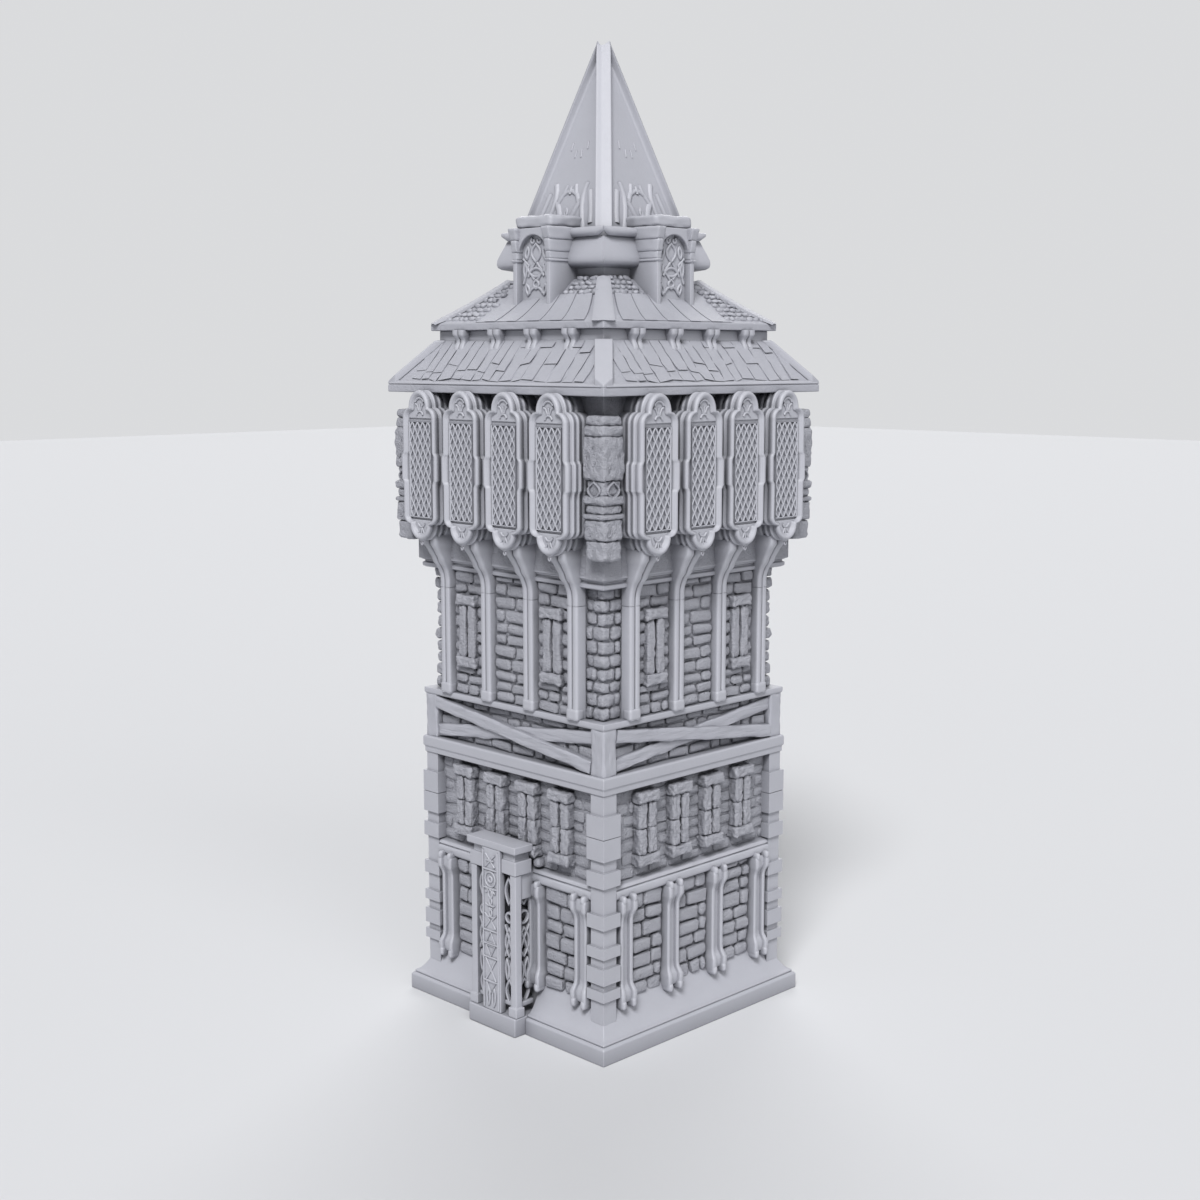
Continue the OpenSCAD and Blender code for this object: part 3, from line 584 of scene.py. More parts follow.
def corner_posts():
    """Hewn posts at the corners of the braced band, slightly wider at their heads and feet."""
    bm = bmesh.new()
    centre = at((PIER_IN + BODY) / 2, (PIER_IN + BODY) / 2, 0)

    def worn(point):
        t = abs((point.z - Z_BRACE) / (Z_MIDDLE_FLOOR - Z_BRACE) * 2 - 1)
        swell = 0.94 + 0.08 * t ** 3
        return Vector((centre.x + (point.x - centre.x) * swell, centre.y + (point.y - centre.y) * swell,
                       point.z))
    inner, outer = PIER_IN - 0.2, BODY + 0.2
    lump(bm, (inner, inner, Z_BRACE - 0.4), (outer, outer, Z_MIDDLE_FLOOR + 0.4),
         soft=0.8, rough=0.3, grain=2.6, cuts=12, finish=worn)
    build("brace_corner_posts", bm, POST, replaces=("brace_posts",))


# ---- Middle storey ----

def middle_stones(draw):
    bm = bmesh.new()
    rib = 2.7
    frame_foot, frame_top = foot("middle_slit_frames") + 0.6, top("middle_slit_frames") - 0.4
    z0, z1 = Z_MIDDLE, Z_LEDGE + 0.4
    lay_stones(bm, draw, ORIELS[1] + rib, ORIELS[2] - rib, z0, z1, MIDDLE_WALL, 1.5)
    for x in MIDDLE_SLITS:
        left, right = x - HALF_BAY + rib, x + HALF_BAY - rib
        inner = FRAME_W / 2 - 1
        for x0, x1, below, above, proud in ((left, right, z0, frame_foot, 1.5),
                                            (left, right, frame_top, z1, 1.5),
                                            (left, x - inner, frame_foot, frame_top, 1.3),
                                            (x + inner, right, frame_foot, frame_top, 1.3)):
            lay_stones(bm, draw, x0, x1, below, above, MIDDLE_WALL, proud)
    build("middle_wall_stones", bm, STONE)
    bm = bmesh.new()
    edges = [-ORIELS[3] - 2] + [x + d for x in MIDDLE_SLITS for d in (-0.5, 0.5)] + [ORIELS[3] + 2]
    for left, right in zip(edges[::2], edges[1::2]):
        plate(bm, box(left, right, Z_MIDDLE, Z_LEDGE), MIDDLE_WALL - 3, MIDDLE_WALL)
    core, core_face = 32, CORNER - 1
    lump(bm, (core, core, Z_MIDDLE - 0.5), (core_face, core_face, Z_LEDGE + 0.3),
         soft=0.3, rough=0, cuts=1)
    build("middle_wall_cores", bm, STONE,
          replaces=[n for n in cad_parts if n.startswith("middle_") and n.endswith("_wall")])


def quoins(draw):
    """Rounded stones that turn the middle storey's bare corners."""
    bm = bmesh.new()
    z = Z_MIDDLE
    a, b = 5.4, 3.4
    while z < Z_LEDGE - 1:
        height = draw.uniform(3.9, 4.8)
        face = CORNER + draw.uniform(-0.1, 0.6)
        z0, z1 = z + 0.2, min(z + height, Z_LEDGE + 0.3) - 0.2
        lump(bm, (face - a, face - b, z0), (face, face, z1), soft=1.2, rough=0.4, grain=1.7, cuts=8)
        for length, turned in ((a, False), (b, True)):
            out = CORNER + draw.uniform(-0.3, 0.5)
            lower, upper = (ORIELS[3] + 1.5, CORNER - 4), (face - length - 0.3, out)
            if turned:
                lower, upper = lower[::-1], upper[::-1]
            lump(bm, (*lower, z0), (*upper, z1), soft=1.1, rough=0.45, grain=1.6, cuts=4)
        z += height
        a, b = b, a
    build("corner_quoins", bm, STONE)


def rib_section(z, face, half, depth, groove):
    """Two rolls with a fine groove between them: the section of a corbelled rib."""
    roll = half / 2
    crest = face - roll * ROLL_RISE
    return two_rolls(z, half, face - depth, roll, roll, crest, 0.6, [(0, crest - groove)], 0.94)


def ribs():
    """The ribs of the middle storey, which swell out into corbels under the oriels."""
    bm = bmesh.new()
    shaft = MIDDLE_WALL + 3.2
    half, depth, groove = 2.5, 4, 0.5
    z_bend, z_end = max(Z_SEAM + 0.4, Z_LEDGE - 3.5), Z_ORIEL + 1.5
    stations = [(z, shaft, half, depth, groove) for z in (Z_MIDDLE - 0.2, Z_SEAM - 0.15, Z_SEAM + 0.15)]
    stations.insert(2, (Z_SEAM, shaft - 0.25, half - 0.25, depth, groove))
    for i in range(11):
        t = i / 10
        swing = t * t * (3 - 2 * t)
        collar = 0.5 if i in (4, 8) else 0
        out = shaft + (ORIEL_FACE - 3.8 - shaft) * swing + collar
        stations.append((z_bend + (z_end - z_bend) * t, out, half + 1.2 * swing + collar / 2,
                         depth + 5 * swing, groove))
    sweep(bm, ORIELS, rib_section, stations)
    for x in ORIELS:
        lump(bm, (x - half - 0.12, MIDDLE_WALL - 0.5, Z_MIDDLE - 0.3),
             (x + half + 0.12, shaft + 0.2, Z_MIDDLE + 3.6), soft=0.8, rough=0.05, cuts=6)
    build("corbelled_ribs", bm, CARVED, replaces=("wall_ribs",), seam_angle=70)


# ---- Gallery ----

LOBE_STEPS, SHOULDER_STEPS = 12, 6


def oriel_outline(grow):
    """The lobed outline of an oriel, as (x, z) points. Its sides bulge into ears at mid-height."""
    half, lobe, shoulder = 8.6 + grow, 5.3 + grow * 0.9, 3.4

    def corner(end, spring, share):
        """From the tip of a lobe to the side; share is the lobe's part of the rise."""
        points = []
        for i in range(LOBE_STEPS + 1):
            angle = math.pi / 2 * i / LOBE_STEPS
            points.append((lobe * math.sin(angle), end + (spring - end) * share * (1 - math.cos(angle))))
        for i in range(SHOULDER_STEPS + 1):
            angle = math.radians(70) * (1 - i / SHOULDER_STEPS)
            points.append((half - shoulder * (1 - math.cos(angle)),
                           spring - (spring - end) * (1 - share) * math.sin(angle)))
        return points
    middle = (Z_LATTICE + Z_LATTICE_TOP) / 2
    ears = [(half + 0.85 * bulge, middle + t)
            for t, bulge in ((-5.4, 0), (-4.6, 0.5), (-4.0, 1), (0, 1), (4.0, 1), (4.6, 0.5), (5.4, 0))]
    right = (corner(Z_ORIEL - grow, Z_LATTICE - 0.6, 0.66) + ears
             + corner(Z_ORIEL_TOP + grow, Z_LATTICE_TOP + 0.6, 0.62)[::-1])
    left = [(-x, z) for x, z in reversed(right)]
    return right + left[1:-1]


def oriel_profile():
    """From the wall out to the rim and down to the carved floor, as (growth, out)."""
    points = [(0.0, GALLERY_WALL - 0.5)]
    for grow, out, size in ((0.2, 49.6, 0.8), (0.35, 52.2, 0.8), (0.3, 54.4, 0.7)):
        for i in range(4):
            angle = math.pi / 2 * i / 3
            points.append((grow - size * (1 - math.cos(angle)), out - size + size * math.sin(angle)))
    rim = ORIEL_FACE
    points += [(-0.7, 54.7), (-0.2, rim - 2.0), (0.0, rim - 0.9), (-0.25, rim - 0.3), (-0.7, rim),
               (-1.2, rim - 0.05), (-1.6, rim - 0.35), (-1.9, rim - 0.8), (-2.3, rim - 0.9),
               (-2.5, rim - 1.7)]
    return points


def oriel_frames():
    bm = bmesh.new()
    profile = oriel_profile()
    outlines = [oriel_outline(point[0]) for point in profile]
    count, steps_below_rim = len(outlines[0]), 12
    for x in ORIELS:
        def place(u, v, x=x):
            level = round(v * (len(profile) - 1))
            px, pz = outlines[level][round(u * count) % count]
            if level < steps_below_rim:
                pz = min(pz, Z_EAVE + 0.85)
            return at(x + px, profile[level][1], pz)
        tube(bm, count, len(profile) - 1, place)
    build("oriel_frames", bm, CARVED, seam_angle=62,
          replaces=("front_oriels", "right_oriels", "back_oriels", "left_oriels"))


def lattices():
    """Diamond lattices: a turned grid trimmed to the window, each whole diamond sunk into a dimple."""
    bm = bmesh.new()
    width, tall = 2.8, 4.7
    half = 5.75
    z0, z1 = Z_LATTICE - 0.9, Z_LATTICE_TOP - 0.5
    face = ORIEL_FACE - 0.85
    cells = 14
    made = bmesh.ops.create_grid(bm, x_segments=cells * 2, y_segments=cells * 2, size=cells)["verts"]
    bmesh.ops.rotate(bm, verts=made, cent=(0, 0, 0), matrix=Matrix.Rotation(math.pi / 4, 3, "Z"))
    for vert in made:
        x = vert.co.x / ROOT2 * width
        z = vert.co.y / ROOT2 * tall
        vert.co = at(x, face, (z0 + z1) / 2 + z)
    for point, away in ((at(half, 0, 0), (1, 0, 0)), (at(-half, 0, 0), (-1, 0, 0)),
                        (at(0, 0, z1), (0, 0, 1)), (at(0, 0, z0), (0, 0, -1))):
        geom = bm.verts[:] + bm.edges[:] + bm.faces[:]
        bmesh.ops.bisect_plane(bm, geom=geom, plane_co=point, plane_no=away, clear_outer=True)
    full = width * tall / 4
    whole = [f for f in bm.faces if f.calc_area() > full * 0.45]
    bmesh.ops.recalc_face_normals(bm, faces=bm.faces[:])
    if whole[0].normal.y > 0:
        bmesh.ops.reverse_faces(bm, faces=bm.faces[:])
    bmesh.ops.inset_individual(bm, faces=whole, thickness=0.42, depth=-0.16)
    bmesh.ops.inset_individual(bm, faces=whole, thickness=0.16, depth=-0.75)
    bmesh.ops.inset_individual(bm, faces=whole, thickness=0.2, depth=-0.1)
    rim = [e for e in bm.edges if e.is_boundary]
    made = bmesh.ops.extrude_edge_only(bm, edges=rim)["geom"]
    bmesh.ops.translate(bm, verts=[g for g in made if isinstance(g, bmesh.types.BMVert)],
                        vec=at(0, -1.4, 0))
    bmesh.ops.holes_fill(bm, edges=[e for e in bm.edges if e.is_boundary], sides=0)
    one = bpy.data.meshes.new("lattice")
    bm.to_mesh(one)
    bm.clear()
    for x in ORIELS:
        bm.from_mesh(one)
        bm.verts.ensure_lookup_table()
        bmesh.ops.translate(bm, verts=bm.verts[-len(one.vertices):], vec=(x, 0, 0))
    build("oriel_lattice_panels", bm, CARVED, replaces=("oriel_lattices",), seam_angle=35)


def tympana():
    """Carved ends of the oriels, over and under the lattice: a sunk field with an arc and rays."""
    bm = bmesh.new()
    field, face = ORIEL_FACE - 2.0, ORIEL_FACE - 1.25
    outline = oriel_outline(-2.45)
    for edge, up in ((Z_LATTICE_TOP + 0.3, 1), (Z_LATTICE - 1.4, -1)):
        shape = [(px, pz) for px, pz in outline if (pz - edge) * up > 0.3]
        wide = max(px for px, pz in shape)
        shape.sort(key=lambda p: math.atan2(p[0], (p[1] - edge + 0.5 * up) * up))
        shape = [(-wide, edge)] + shape + [(wide, edge)]
        for x in ORIELS:
            plate(bm, [(x + px, pz + 0.35 * up) for px, pz in shape], field, face, 0.2)
            centre = edge + 4.1 * up
            bead(bm, arc(x, centre + 0.8 * up, 2.4, 25 * up, 155 * up, 8), 0.8, face - 0.2, face + 0.6)
            bead(bm, arc(x, centre - 3.0 * up, 1.7, 15 * up, 165 * up, 8), 0.8, face - 0.2, face + 0.55)
            for ray in (-1, 0, 1):
                bead(bm, [(x + ray * 0.5, centre - 1.0 * up), (x + ray * 1.2, centre + 0.6 * up),
                          (x + ray * 2.2, centre + 1.2 * up)], 0.75, face - 0.2, face + 0.5)
            bead(bm, leaf(x, centre + 3.4 * up, 0.5, 1.6 * up, steps=6), 0.35, face - 0.2, face + 0.3,
                 True)
    build("oriel_tympana", bm, CARVED)


def corner_columns():
    """Carved columns at the gallery's corners, stacked from worn drums."""
    bm = bmesh.new()
    inner, face = 42.6, reach("gallery_corner_columns")
    z0 = foot("gallery_corner_columns")
    drums = [(0, 6.5, 0.5, 0.4), (6.5, 13.2, 0.1, 0.6), (13.1, 14.8, -0.35, 0.2),
             (14.7, 17.8, 0.4, 0.3), (17.6, 20.5, -0.3, 0.3), (20.3, 25.5, 0.7, 0.5),
             (25.3, 38.9, -0.1, 0.7), (38.8, 42.3, 0.1, 0.4), (42.2, 45.3, 0.4, 0.3)]
    for start, end, inset, rough in drums:
        lump(bm, (inner + inset, inner + inset, z0 + start), (face - inset, face - inset, z0 + end),
             soft=1.1, rough=rough, grain=1.9, cuts=14)
    for swap in (False, True):
        def side(x, out, z, swap=swap):
            return at(out, x, z) if swap else at(x, out, z)
        middle = (inner + face) / 2
        for sign in (-1, 1):
            bead(bm, arc(middle + sign * 2.1, z0 + 9.2, 1.35, 0, 300, 10), 0.7, face - 1, face + 0.05,
                 surface=side)
            bead(bm, leaf(middle + sign * 2.4, z0 + 28.2, 1.1, 8.4, sign * -0.6), 0.55, face - 1,
                 face + 0.15, True, side)
        bead(bm, leaf(middle, z0 + 29.5, 1.2, 7.2), 0.55, face - 1, face + 0.15, True, side)
        bead(bm, leaf(middle, z0 + 19.6, 2.6, 5.2), 0.7, face - 1, face + 0.1, True, side)
    core, core_face = 38, GALLERY_WALL + 0.4
    lump(bm, (core, core, Z_GALLERY - 1), (core_face, core_face, Z_EAVE + 0.3), soft=0.5, rough=0.05)
    build("carved_corner_columns", bm, STONE, replaces=("gallery_corner_columns",))


# ---- Roofs ----

def roof_slabs(bm, draw, surface, x_at, first, last, width, thick, breaks):
    """Overlapping slabs laid up a slope. x_at(z) is how far the slope reaches sideways at height z."""
    x = -x_at(first)
    while x < x_at(first) - 1:
        wide = draw.uniform(0.75, 1.25) * width
        levels = sorted([first, last] + [draw.uniform(first + 2, last - 1.5) for i in range(breaks)])
        for a, b in zip(levels, levels[1:]):
            if b - a < 1:
                continue
            proud = draw.uniform(0.5, 1) * thick
            lean = draw.uniform(-0.5, 0.5)

            def place(u, v, x=x, wide=wide, a=a, b=b, proud=proud, lean=lean):
                side = u * 4
                across = [0.06, 0.06, 0.94, 0.94, 0.06][round(side)]
                lift = [-0.6, proud, proud, -0.6, -0.6][round(side)]
                z = a - 0.25 + (b - a + 0.2) * v
                px = x + wide * across + lean * v
                wobble = 0.65 * noise.noise(Vector((px / 2.5, z / 2.6, 3.0 * round(side))))
                if v == 0:
                    z += 1.3 * noise.noise(Vector((px / 2.2, a, 7.0)))
                limit = x_at(z) - 0.4
                taper = 1 - 0.7 * v
                rise = lift * taper + wobble * 0.6 if lift > 0 else lift
                return surface(max(-limit, min(limit, px + wobble)), rise, z)
            if min(abs(x), abs(x + wide)) < x_at(b) - 0.6:
                tube(bm, 4, 7, place)
        x += wide


def roof_cobbles(bm, draw, surface, x_at, wanted, first, last, size):
    """Rounded stones bedded on a slope, wherever wanted(x) holds."""
    z = first
    while z < last:
        step = draw.uniform(0.75, 1.0) * size * 0.62
        x = -x_at(z) + 0.6
        while x < x_at(z) - 0.6:
            wide = draw.uniform(0.7, 1.3) * size
            if wanted(x + wide / 2) and x + wide < x_at(z) - 0.1:
                out = -surface(x + wide / 2, 0, z + step / 2).y
                face = out + draw.uniform(0.5, 1.2)
                lump(bm, (x + 0.15, out - 1.1, z), (x + wide - 0.15, face, z + step + 0.2),
                     soft=1.1, rough=0.4, grain=1.5, tilt=draw.uniform(-0.3, 0.3))
            x += wide
        z += step


def lower_roof():
    softened("lower_roof", ROOF, 0.4, mitred=True)
    softened("lower_roof_hips", SMOOTH, 0.45)
    softened("attic_walls", SMOOTH, 0.3, mitred=True)
    eave, z0, z1 = reach("lower_roof"), Z_EAVE + 2.5, Z_LOWER_ROOF_TOP
    surface = slope(eave, z0, ATTIC_WALL, z1)

    def x_at(z):
        return eave - (eave - ATTIC_WALL) * (z - z0) / (z1 - z0) - 2.9
    bm = bmesh.new()
    roof_slabs(bm, random.Random(23), surface, x_at, z0 + 2.2, z1 - 0.4, 5.4, 0.8, 1)
    build("lower_roof_slabs", bm, ROOF)
    bm = bmesh.new()
    bead(bm, [(x, z0 + 0.9) for x in (1.2 - eave, 0, eave - 1.2)], 1.3, -0.5, 0.75, surface=surface)
    build("lower_eave_strip", bm, SMOOTH)


def brackets():
    """Double-ridged S-shaped consoles under the upper eave."""
    bm = bmesh.new()
    face, z1 = reach("roof_brackets"), Z_UPPER_EAVE
    stations = [(z1 + 0.2, face + 0.3, 3.0, 3.6, 0.6), (z1 - 1.3, face + 0.3, 3.0, 3.6, 0.6),
                (z1 - 2.0, face - 0.1, 2.8, 3.4, 0.6), (z1 - 3.0, face - 1.0, 2.5, 3.0, 0.6),
                (z1 - 4.0, face - 1.1, 2.4, 3.0, 0.6), (z1 - 5.0, face - 0.5, 2.5, 3.4, 0.6),
                (z1 - 6.0, face - 0.1, 2.6, 4.0, 0.6), (z1 - 7.2, face, 2.6, 4.4, 0.6),
                (z1 - 8.2, face - 0.3, 2.3, 4.4, 0.5)]
    sweep(bm, BRACKETS, rib_section, stations)
    build("eave_consoles", bm, CARVED, replaces=("roof_brackets",), seam_angle=70)


def upper_roof():
    softened("upper_roof", ROOF, 0.4, mitred=True)
    eave, z0, z1 = reach("upper_roof"), Z_UPPER_EAVE + 2.4, Z_UPPER_ROOF_TOP
    inner, curve = 22.9, 1 / 1.2

    def out_at(z):
        return eave - (eave - inner) * max(0, (z - z0) / (z1 - z0)) ** curve

    def surface(x, proud, z):
        return at(x, out_at(z) + proud, z + proud * 0.6)
    bm = bmesh.new()
    cap = ((-1, -0.6), (-1, 0.35), (-0.8, 0.6), (0, 1.0), (0.8, 0.6), (1, 0.35), (1, -0.6))

    def hip(u, v):
        z = z0 + (z1 - z0) * v
        across, rise = cap[round(u * len(cap)) % len(cap)]
        half = 2.2 + 1.5 * (1 - v)
        rise = rise * min(1, 0.15 + 6 * v) if rise > 0 else rise
        diagonal = out_at(z) * ROOT2 + rise - abs(across) * half * 0.35
        return Vector(((diagonal + across * half) / ROOT2, (across * half - diagonal) / ROOT2,
                       z + rise * 0.6))
    tube(bm, len(cap), 8, hip)
    build("upper_hip_caps", bm, SMOOTH, replaces=("upper_roof_hips",))
    for name, sides, mirror in (("even", (0, 180), 1), ("odd", (90, 270), -1)):
        bm = bmesh.new()
        x = -19.0 * mirror
        for k in range(10):
            low_x, low_next = x, x + mirror * (5.4 if k % 3 else 4.6)
            x = low_next + mirror * 0.2
            shrink = (inner - 2) / (eave - 2)

            def place(u, v, a=low_x, b=low_next, k=k, mirror=mirror):
                corner = round(u * 4) % 4
                end = (a, a, b, b)[corner]
                lift = (-0.5, 0.3, 0.3, -0.5)[corner]
                z = z0 + 0.2 + 8.8 * v
                limit = out_at(z) - 3.4 + 1.1 * v
                px = end * (1 - (1 - shrink) * 0.55 * v)
                if lift > 0:
                    lift += 0.18 * (k % 2)
                return surface(max(-limit, min(limit, px)), lift, z)
            tube(bm, 4, 6, place)
        build("upper_roof_boards_" + name, bm, ROOF, sides)
        bm = bmesh.new()
        draw = random.Random(29)
        for first, keep in ((z0 + 0.2, (-99, -18.0)), (z0 + 8.4, (10.5, 99))):
            def clear(px, first=first, keep=keep, mirror=mirror):
                return keep[0] < px * mirror < keep[1]
            roof_cobbles(bm, draw, surface, lambda z: out_at(z) - 2.2, clear, first, z1 - 0.3, 3.0)
        build("upper_roof_cobbles_" + name, bm, ROOF, sides)


# ---- Lantern, dormers and spire ----

def lantern():
    """The lantern's neck, its broad skirt and the bead over it, split at the corners."""
    face, z = 26.1, Z_SPIRE
    bm = bmesh.new()
    ring(bm, [(face - 6, z - 30), (face - 4.7, z - 16), (face - 4.4, z - 13.6), (face - 1.2, z - 12.9),
              (face - 0.3, z - 12.2), (face, z - 11.2), (face - 0.1, z - 9.8), (face - 0.9, z - 7.6),
              (face - 1.9, z - 5.2), (face - 2.6, z - 3.4), (face - 5.0, z - 3.0), (face - 6, z)])
    build("lantern_skirt", bm, SMOOTH, FRONT_ONLY, ("lantern",), seam_angle=40)
    bm = bmesh.new()

    def place(u, v):
        t = 2 * u - 1
        end = max(0, abs(t) - 0.88) / 0.12
        angle = math.tau * v
        radius = 1.55 * (1 - 0.55 * end)
        out = face - 1.9 + radius * 0.95 * math.cos(angle)
        return at(t * (face - 1.4), out + 0.35 * end, z - 1.9 + radius * math.sin(angle) + 0.75 * end)
    tube_along(bm, 36, 14, place)
    build("lantern_bead", bm, SMOOTH, seam_angle=70)


def dormers():
    """Blind dormers: two piers with flared capitals, an arch over a carved recess, and a cap slab."""
    bm = bmesh.new()
    half, pier, face = 9.2, 2.2, reach("dormers") - 0.9
    z_cap = top("dormers") - 4
    inside = half - pier
    spring = z_cap - 2.3 - inside
    plate(bm, box(-half + 0.4, half - 0.4, Z_UPPER_EAVE + 4, z_cap), 20, face - 2.5)
    curve = arc(0, spring, inside, 0, 180, 16)
    outer = half - 0.3
    plate(bm, curve + [(-outer, spring), (-outer, z_cap), (outer, z_cap), (outer, spring)],
          face - 2.7, face - 0.5, 0.45, 3)
    for side in (-1, 1):
        x = side * (half - pier / 2)
        lump(bm, (x - pier / 2, 20, Z_UPPER_EAVE + 3), (x + pier / 2, face, spring + 1),
             soft=0.6, rough=0.05, cuts=8)
        for z0, z1, grow in ((spring - 2.0, spring - 0.9, 0.35), (spring - 1.2, spring + 1.6, 0.15),
                             (spring + 1.2, spring + 5.6, 0.4), (spring + 5.2, z_cap + 0.2, 0.75)):
            def flare(point, x=x, z0=z0, z1=z1, grow=grow):
                t = 1 + 0.05 * grow * (point.z - z0) / (z1 - z0)
                return Vector((x + (point.x - x) * t, point.y * t, point.z))
            lump(bm, (x - pier / 2 - grow, 22, z0), (x + pier / 2 + grow, face - 0.2 + grow, z1),
                 soft=0.7, cuts=8, finish=flare)
    lump(bm, (-half + 0.4, 18, z_cap - 0.1), (half - 0.4, face - 0.7, z_cap + 4), soft=1.3, rough=0.3,
         grain=3, cuts=14)
    build("dormer_frames", bm, CARVED, replaces=("dormers",))
    bm = bmesh.new()
    back = face - 2.5
    z0 = z_cap - 23.5
    shapes = [(leaf(0, z0 + 12.4, 2.2, 6.0), True), (leaf(0, z0 + 3.6, 1.3, 3.0), True),
              (arc(0, z0 + 12.0, 4.4, 200, 340, 12), False), (arc(0, z0 + 6.4, 4.0, 20, 160, 12), False),
              (arc(0, z0 + 0.6, 3.6, 25, 155, 10), False)]
    for side in (-1, 1):
        shapes += [(leaf(side * x, z0 + z, width, tall, side * lean), True) for x, z, width, tall, lean
                   in ((5.3, 7.2, 0.7, 5.4, 0), (4.5, 13.4, 0.8, 4.0, -0.7), (3.9, 1.6, 0.8, 3.6, 0.8))]
        shapes.append((arc(side * 1.6, z0 + 19.4, 0.8, 90, 90 - side * 300, 8), False))
        shapes += [([(side * x, z0 + z) for x, z in path], False) for path
                   in (((0.5, 12.2), (3.2, 9.2), (0.7, 6.6)), ((6.3, 13.6), (3.6, 11.4), (6.2, 5.4)))]
    for path, closed in shapes:
        bead(bm, path, 1.05, back - 0.3, back + 0.6, closed)
    build("dormer_interlace", bm, CARVED)


def spire():
    """Four smooth faces, sunk between hip boards whose edges are raised and soft."""
    z0, z1 = Z_SPIRE - 0.5, Z_TIP
    foot_hip, tip_hip, foot_board, tip_board, sunk_face = 28.5, 2.0, 2.35, 2.0, 2.3

    def section(z):
        """One side's points (x, out) at height z: the face, then the hip board at its right."""
        t = (z - z0) / (z1 - z0)
        hip, board = foot_hip + (tip_hip - foot_hip) * t, foot_board + (tip_board - foot_board) * t
        x, out = (hip - board) / ROOT2, (hip + board) / ROOT2
        right = [(max(0.02, x - inward), out - drop)
                 for inward, drop in ((0.5, -0.1), (0.9, 0.4), (1.3, 1.7), (2.2, sunk_face))]
        middle, sunk = hip / ROOT2, 0.45 / ROOT2
        ridge = [(x + (middle - x) * share - sunk, out + (middle - out) * share - sunk)
                 for share in (0.42, 1.0)]
        return [(-x, out)] + [(-a, b) for a, b in right] + right[::-1] + [(x, out)] + ridge
    levels = [z0, z0 + 3] + [z0 + (z1 - z0) * i / 14 for i in range(1, 14)] + [z1 - 1.2, z1 - 0.5]
    sections = [section(z) for z in levels]
    side_points, last = len(sections[0]), len(levels) - 1
    board_edges = (0, side_points - 3)
    count = side_points * 4

    def place(u, v):
        level = round(v * last)
        quarter, k = divmod(round(u * count) % count, side_points)
        x, out = sections[level][k]
        turn = math.pi / 2 * quarter
        z = levels[level]
        if level == last:
            z += 0.6 if k in board_edges else -0.7
        c, s = math.cos(turn), math.sin(turn)
        return Vector((x * c + out * s, x * s - out * c, z))
    bm = bmesh.new()
    tube(bm, count, last, place)
    build("spire_boards", bm, SMOOTH, FRONT_ONLY, ("spire",), seam_angle=60)
    bm = bmesh.new()
    surface = slope((foot_hip + foot_board) / ROOT2 - sunk_face, z0,
                    (tip_hip + tip_board) / ROOT2 - sunk_face, z1)
    strips = [([(12.6, 1.4), (12.0, 4.5), (10.9, 8), (9.5, 12.4)], 2.3, 0.8),
              ([(9.8, -1), (8.2, 3), (7.0, 7), (6.5, 10.5), (6.9, 13.2), (7.6, 15.3)], 2.2, 0.75),
              ([(1.4, -1), (2.6, 3), (4.0, 6.5), (5.6, 9)], 3.0, 0.7),
              ([(5.2, 8), (4.0, 10.2), (2.7, 12.2), (2.0, 14.8)], 1.8, 0.6),
              ([(4.6, 9.4), (3.4, 11.4), (1.0, 12.6), (0, 12.4)], 1.9, 0.6),
              ([(3.9, 26.6), (3.6, 29.2)], 0.7, 0.32), ([(1.5, 24.0), (1.2, 26.6)], 0.7, 0.32)]
    for side in (-1, 1):
        for path, width, proud in strips:
            bead(bm, [(side * x, Z_SPIRE + z) for x, z in path], width, -0.6, proud, surface=surface)
    bead(bm, [(0, Z_SPIRE + 11.6), (0, Z_SPIRE + 14.2)], 1.4, -0.6, 0.6, surface=surface)
    bead(bm, leaf(0, Z_SPIRE + 3.4, 0.5, 3.4), 0.9, -0.6, 0.5, True, surface)
    build("spire_relief", bm, CARVED, seam_angle=70)


# ---- Porch ----

def tracery(bm, x, half, z0, z1, back, face, surface):
    """Pierced leaf work in a tall strip: a ring, crossing arcs and broad leaves."""
    tall = z1 - z0
    paths = [(arc(x, z0 + tall * 0.66, half * 0.8, 0, 360, 14)[:-1], True),
             (leaf(x, z0 + tall * 0.76, half * 0.85, tall * 0.2), True),
             (leaf(x, z0 + tall * 0.36, half * 0.9, tall * 0.22), True),
             (leaf(x, z0 + 0.3, half * 0.85, tall * 0.18), True)]
    for side in (-1, 1):
        crossing = [(x + side * half * a, z0 + tall * b) for a, b in ((1, 0.6), (0, 0.5), (-1, 0.36))]
        blade = leaf(x + side * half * 0.45, z0 + tall * 0.18, half * 0.4, tall * 0.16, side * 0.4)
        paths += [(crossing, False), (blade, True)]
    for path, closed in paths:
        bead(bm, path, 0.95, back, face, closed, surface)


